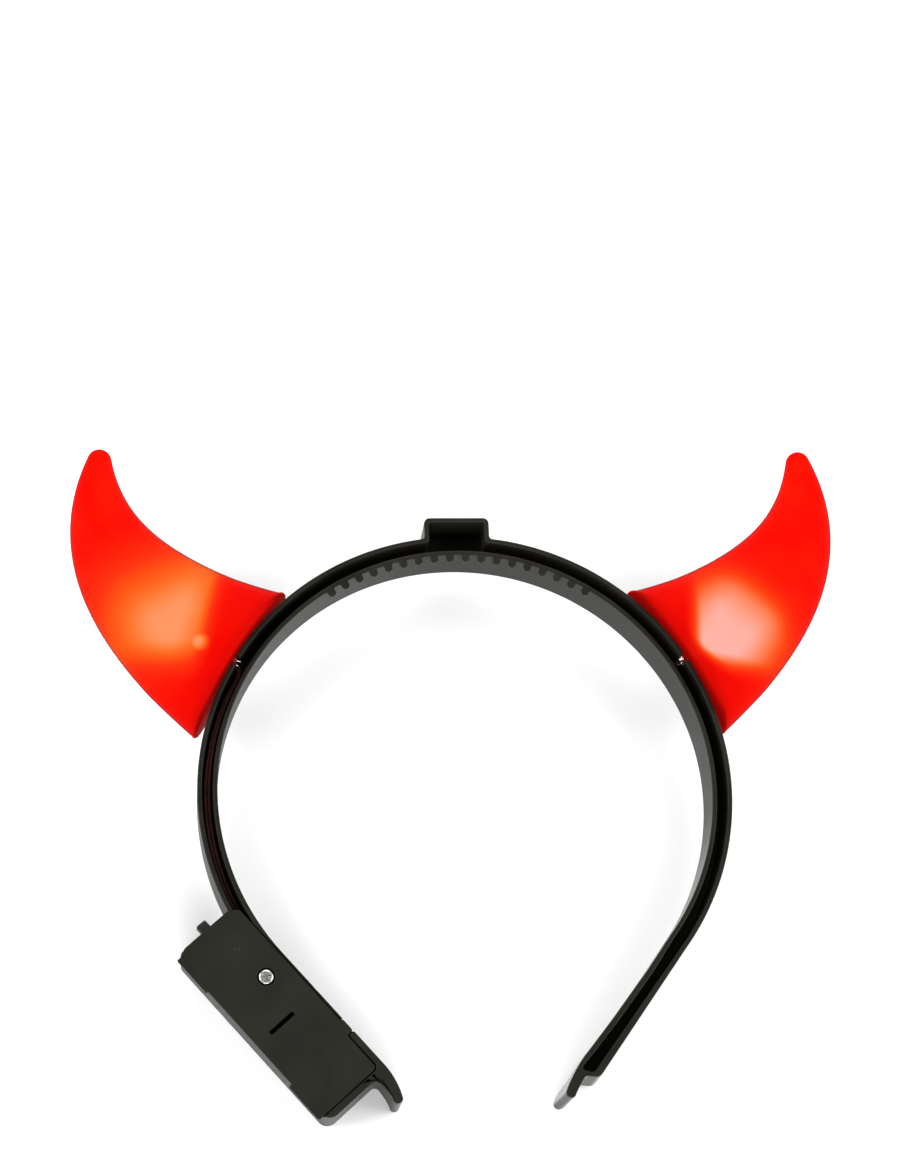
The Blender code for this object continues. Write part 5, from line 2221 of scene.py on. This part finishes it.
@dataclass
class Studio:
    """Pale floor, soft lights and the camera at the photo's angle.

    The camera's axes are right, up and back, in the band's frame. Rows of lamps hold: name, place, size and
    power.
    """

    camera_place: Triple = (-0.07764, -0.19902, 0.7273)
    camera_axes: tuple[Triple, ...] = (
        (0.995114, -0.036663, 0.091675),
        (0.003436, 0.940799, 0.338946),
        (-0.098675, -0.336975, 0.936329),
    )
    lens: float = 83.91
    floor_half: float = 1.3
    floor_drop: float = 0.00002
    floor_dark: Triple = (0.86, 0.86, 0.86)
    floor_light: Triple = (0.89, 0.89, 0.89)
    floor_mottle: float = 9.0
    world_light: float = 0.34
    backdrop: float = 0.95
    lamps: tuple[tuple[str, Triple, float, float], ...] = (
        ("soft_left", (-1.5, 0.1, 0.9), 1.3, 32.0),
        ("soft_right", (1.5, -0.1, 0.9), 1.3, 30.0),
        ("soft_front", (0.0, -1.6, 0.8), 1.5, 34.0),
        ("soft_back", (0.1, 1.6, 1.0), 1.4, 24.0),
    )

    @staticmethod
    def _stand(obj: bpy.types.Object, axes: Array, place: Array | Triple) -> None:
        """Stands a light or the camera up.

        Args:
            obj: the light or the camera.
            axes: its right, up and back as the columns of a 3 by 3 matrix.
            place: its place.
        """
        matrix = np.eye(4)
        matrix[:3, :3], matrix[:3, 3] = axes, place
        obj.matrix_world = Matrix(matrix.tolist())

    def camera(self) -> None:
        """Adds the camera, turned with the lying pose."""
        data = bpy.data.cameras.new("photo_camera")
        data.sensor_fit = "VERTICAL"
        data.sensor_height = 36.0
        data.lens = self.lens
        data.clip_start = 0.01
        camera = placed("photo_camera", data)
        axes = POSE.turn() @ np.array(self.camera_axes).T
        self._stand(camera, axes, POSE.place(np.array(self.camera_place)))
        bpy.context.scene.camera = camera

    def floor(self) -> None:
        """Adds the floor: a wide flat sheet a hair below the part, with a faint mottle."""
        corners = np.array(((-1.0, -1.0), (1.0, -1.0), (1.0, 1.0), (-1.0, 1.0))) * self.floor_half
        mesh = bpy.data.meshes.new("studio_floor")
        mesh.from_pydata(lifted(corners, -self.floor_drop).tolist(), [], [(0, 1, 2, 3)])
        floor = placed("studio_floor", mesh)
        material, shader = fresh_material("pale_paper")
        tree = material.node_tree
        mottle = noise(tree, object_place(tree), self.floor_mottle)
        tint = ramp(tree, mottle, [(0.3, self.floor_dark), (0.7, self.floor_light)])
        fill(shader, {"Base Color": tint, "Roughness": 0.9, "Specular IOR Level": 0.1})
        mesh.materials.append(material)

    def world(self) -> None:
        """Adds a pale world, bright only as a backdrop, and shows colours as they are."""
        world = bpy.data.worlds.new("studio_world")
        world.use_nodes = True
        tree = world.node_tree
        seen = tree.nodes.new("ShaderNodeLightPath").outputs["Is Camera Ray"]
        strength = mapped(tree, seen, (0.0, 1.0), (self.world_light, self.backdrop))
        fill(tree.nodes["Background"], {"Color": (1.0, 1.0, 1.0, 1.0), "Strength": strength})
        bpy.context.scene.world = world
        bpy.context.scene.view_settings.view_transform = "Standard"

    def lights(self) -> None:
        """Adds large soft lamps round the sides, each facing the middle of the floor."""
        for name, place, size, power in self.lamps:
            data = bpy.data.lights.new(name, "AREA")
            data.shape = "SQUARE"
            data.size = size
            data.energy = power
            back = np.array(place) / np.linalg.norm(place)
            right = np.cross((0.0, 0.0, 1.0), back)
            right /= np.linalg.norm(right)
            self._stand(placed(name, data), np.stack([right, np.cross(back, right), back], axis=1), place)

    def build(self) -> None:
        """Builds the camera, the floor, the world and the lights."""
        self.camera()
        self.floor()
        self.world()
        self.lights()
        log.info("studio: camera, floor and lights")


def main() -> None:
    logging.basicConfig(level=logging.INFO, format="%(name)s: %(message)s")
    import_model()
    black = MouldedPlastic(
        "moulded_black",
        dark=(0.0095, 0.0090, 0.0066),
        light=(0.0145, 0.0137, 0.0105),
        rough=(0.34, 0.48),
        specular=0.10,
        wall_coat=0.045,
        end_coat=1.0,
    )
    lid_black = MouldedPlastic(
        "lid_black",
        dark=(0.0085, 0.0090, 0.0062),
        light=(0.0125, 0.0130, 0.0092),
        rough=(0.46, 0.60),
        specular=0.10,
    )
    knob_black = MouldedPlastic(
        "knob_black",
        dark=(0.004, 0.004, 0.004),
        light=(0.008, 0.008, 0.007),
        rough=(0.40, 0.55),
        specular=0.40,
    )
    Studio().build()
    BandMoulding(black).build()
    GripComb(black).build()
    BatteryLid(lid_black).build()
    LidScrew().build()
    SlideSwitch(knob_black).build()
    sleeve = WireSleeve("wire_sleeve")
    resin = LampResin("lamp_resin")
    legs = PlatedWire("plated_legs")
    for side, rise, shade_strip, glow, set_turn in (
        (Side.LEFT, 0.0092, 0.0095, LEFT_GLOW, math.radians(0.4)),
        (Side.RIGHT, 0.0036, 0.0090, RIGHT_GLOW, math.radians(-0.4)),
    ):
        red = LitRedPlastic(f"lit_red_{side.label}", side, glow, shade_strip)
        Horn(side, red, set_turn).build()
        Lamp(side, resin).build()
        Lead(side, sleeve, rise).build()
        LampLegs(side, legs).build()


if __name__ == "__main__":
    main()
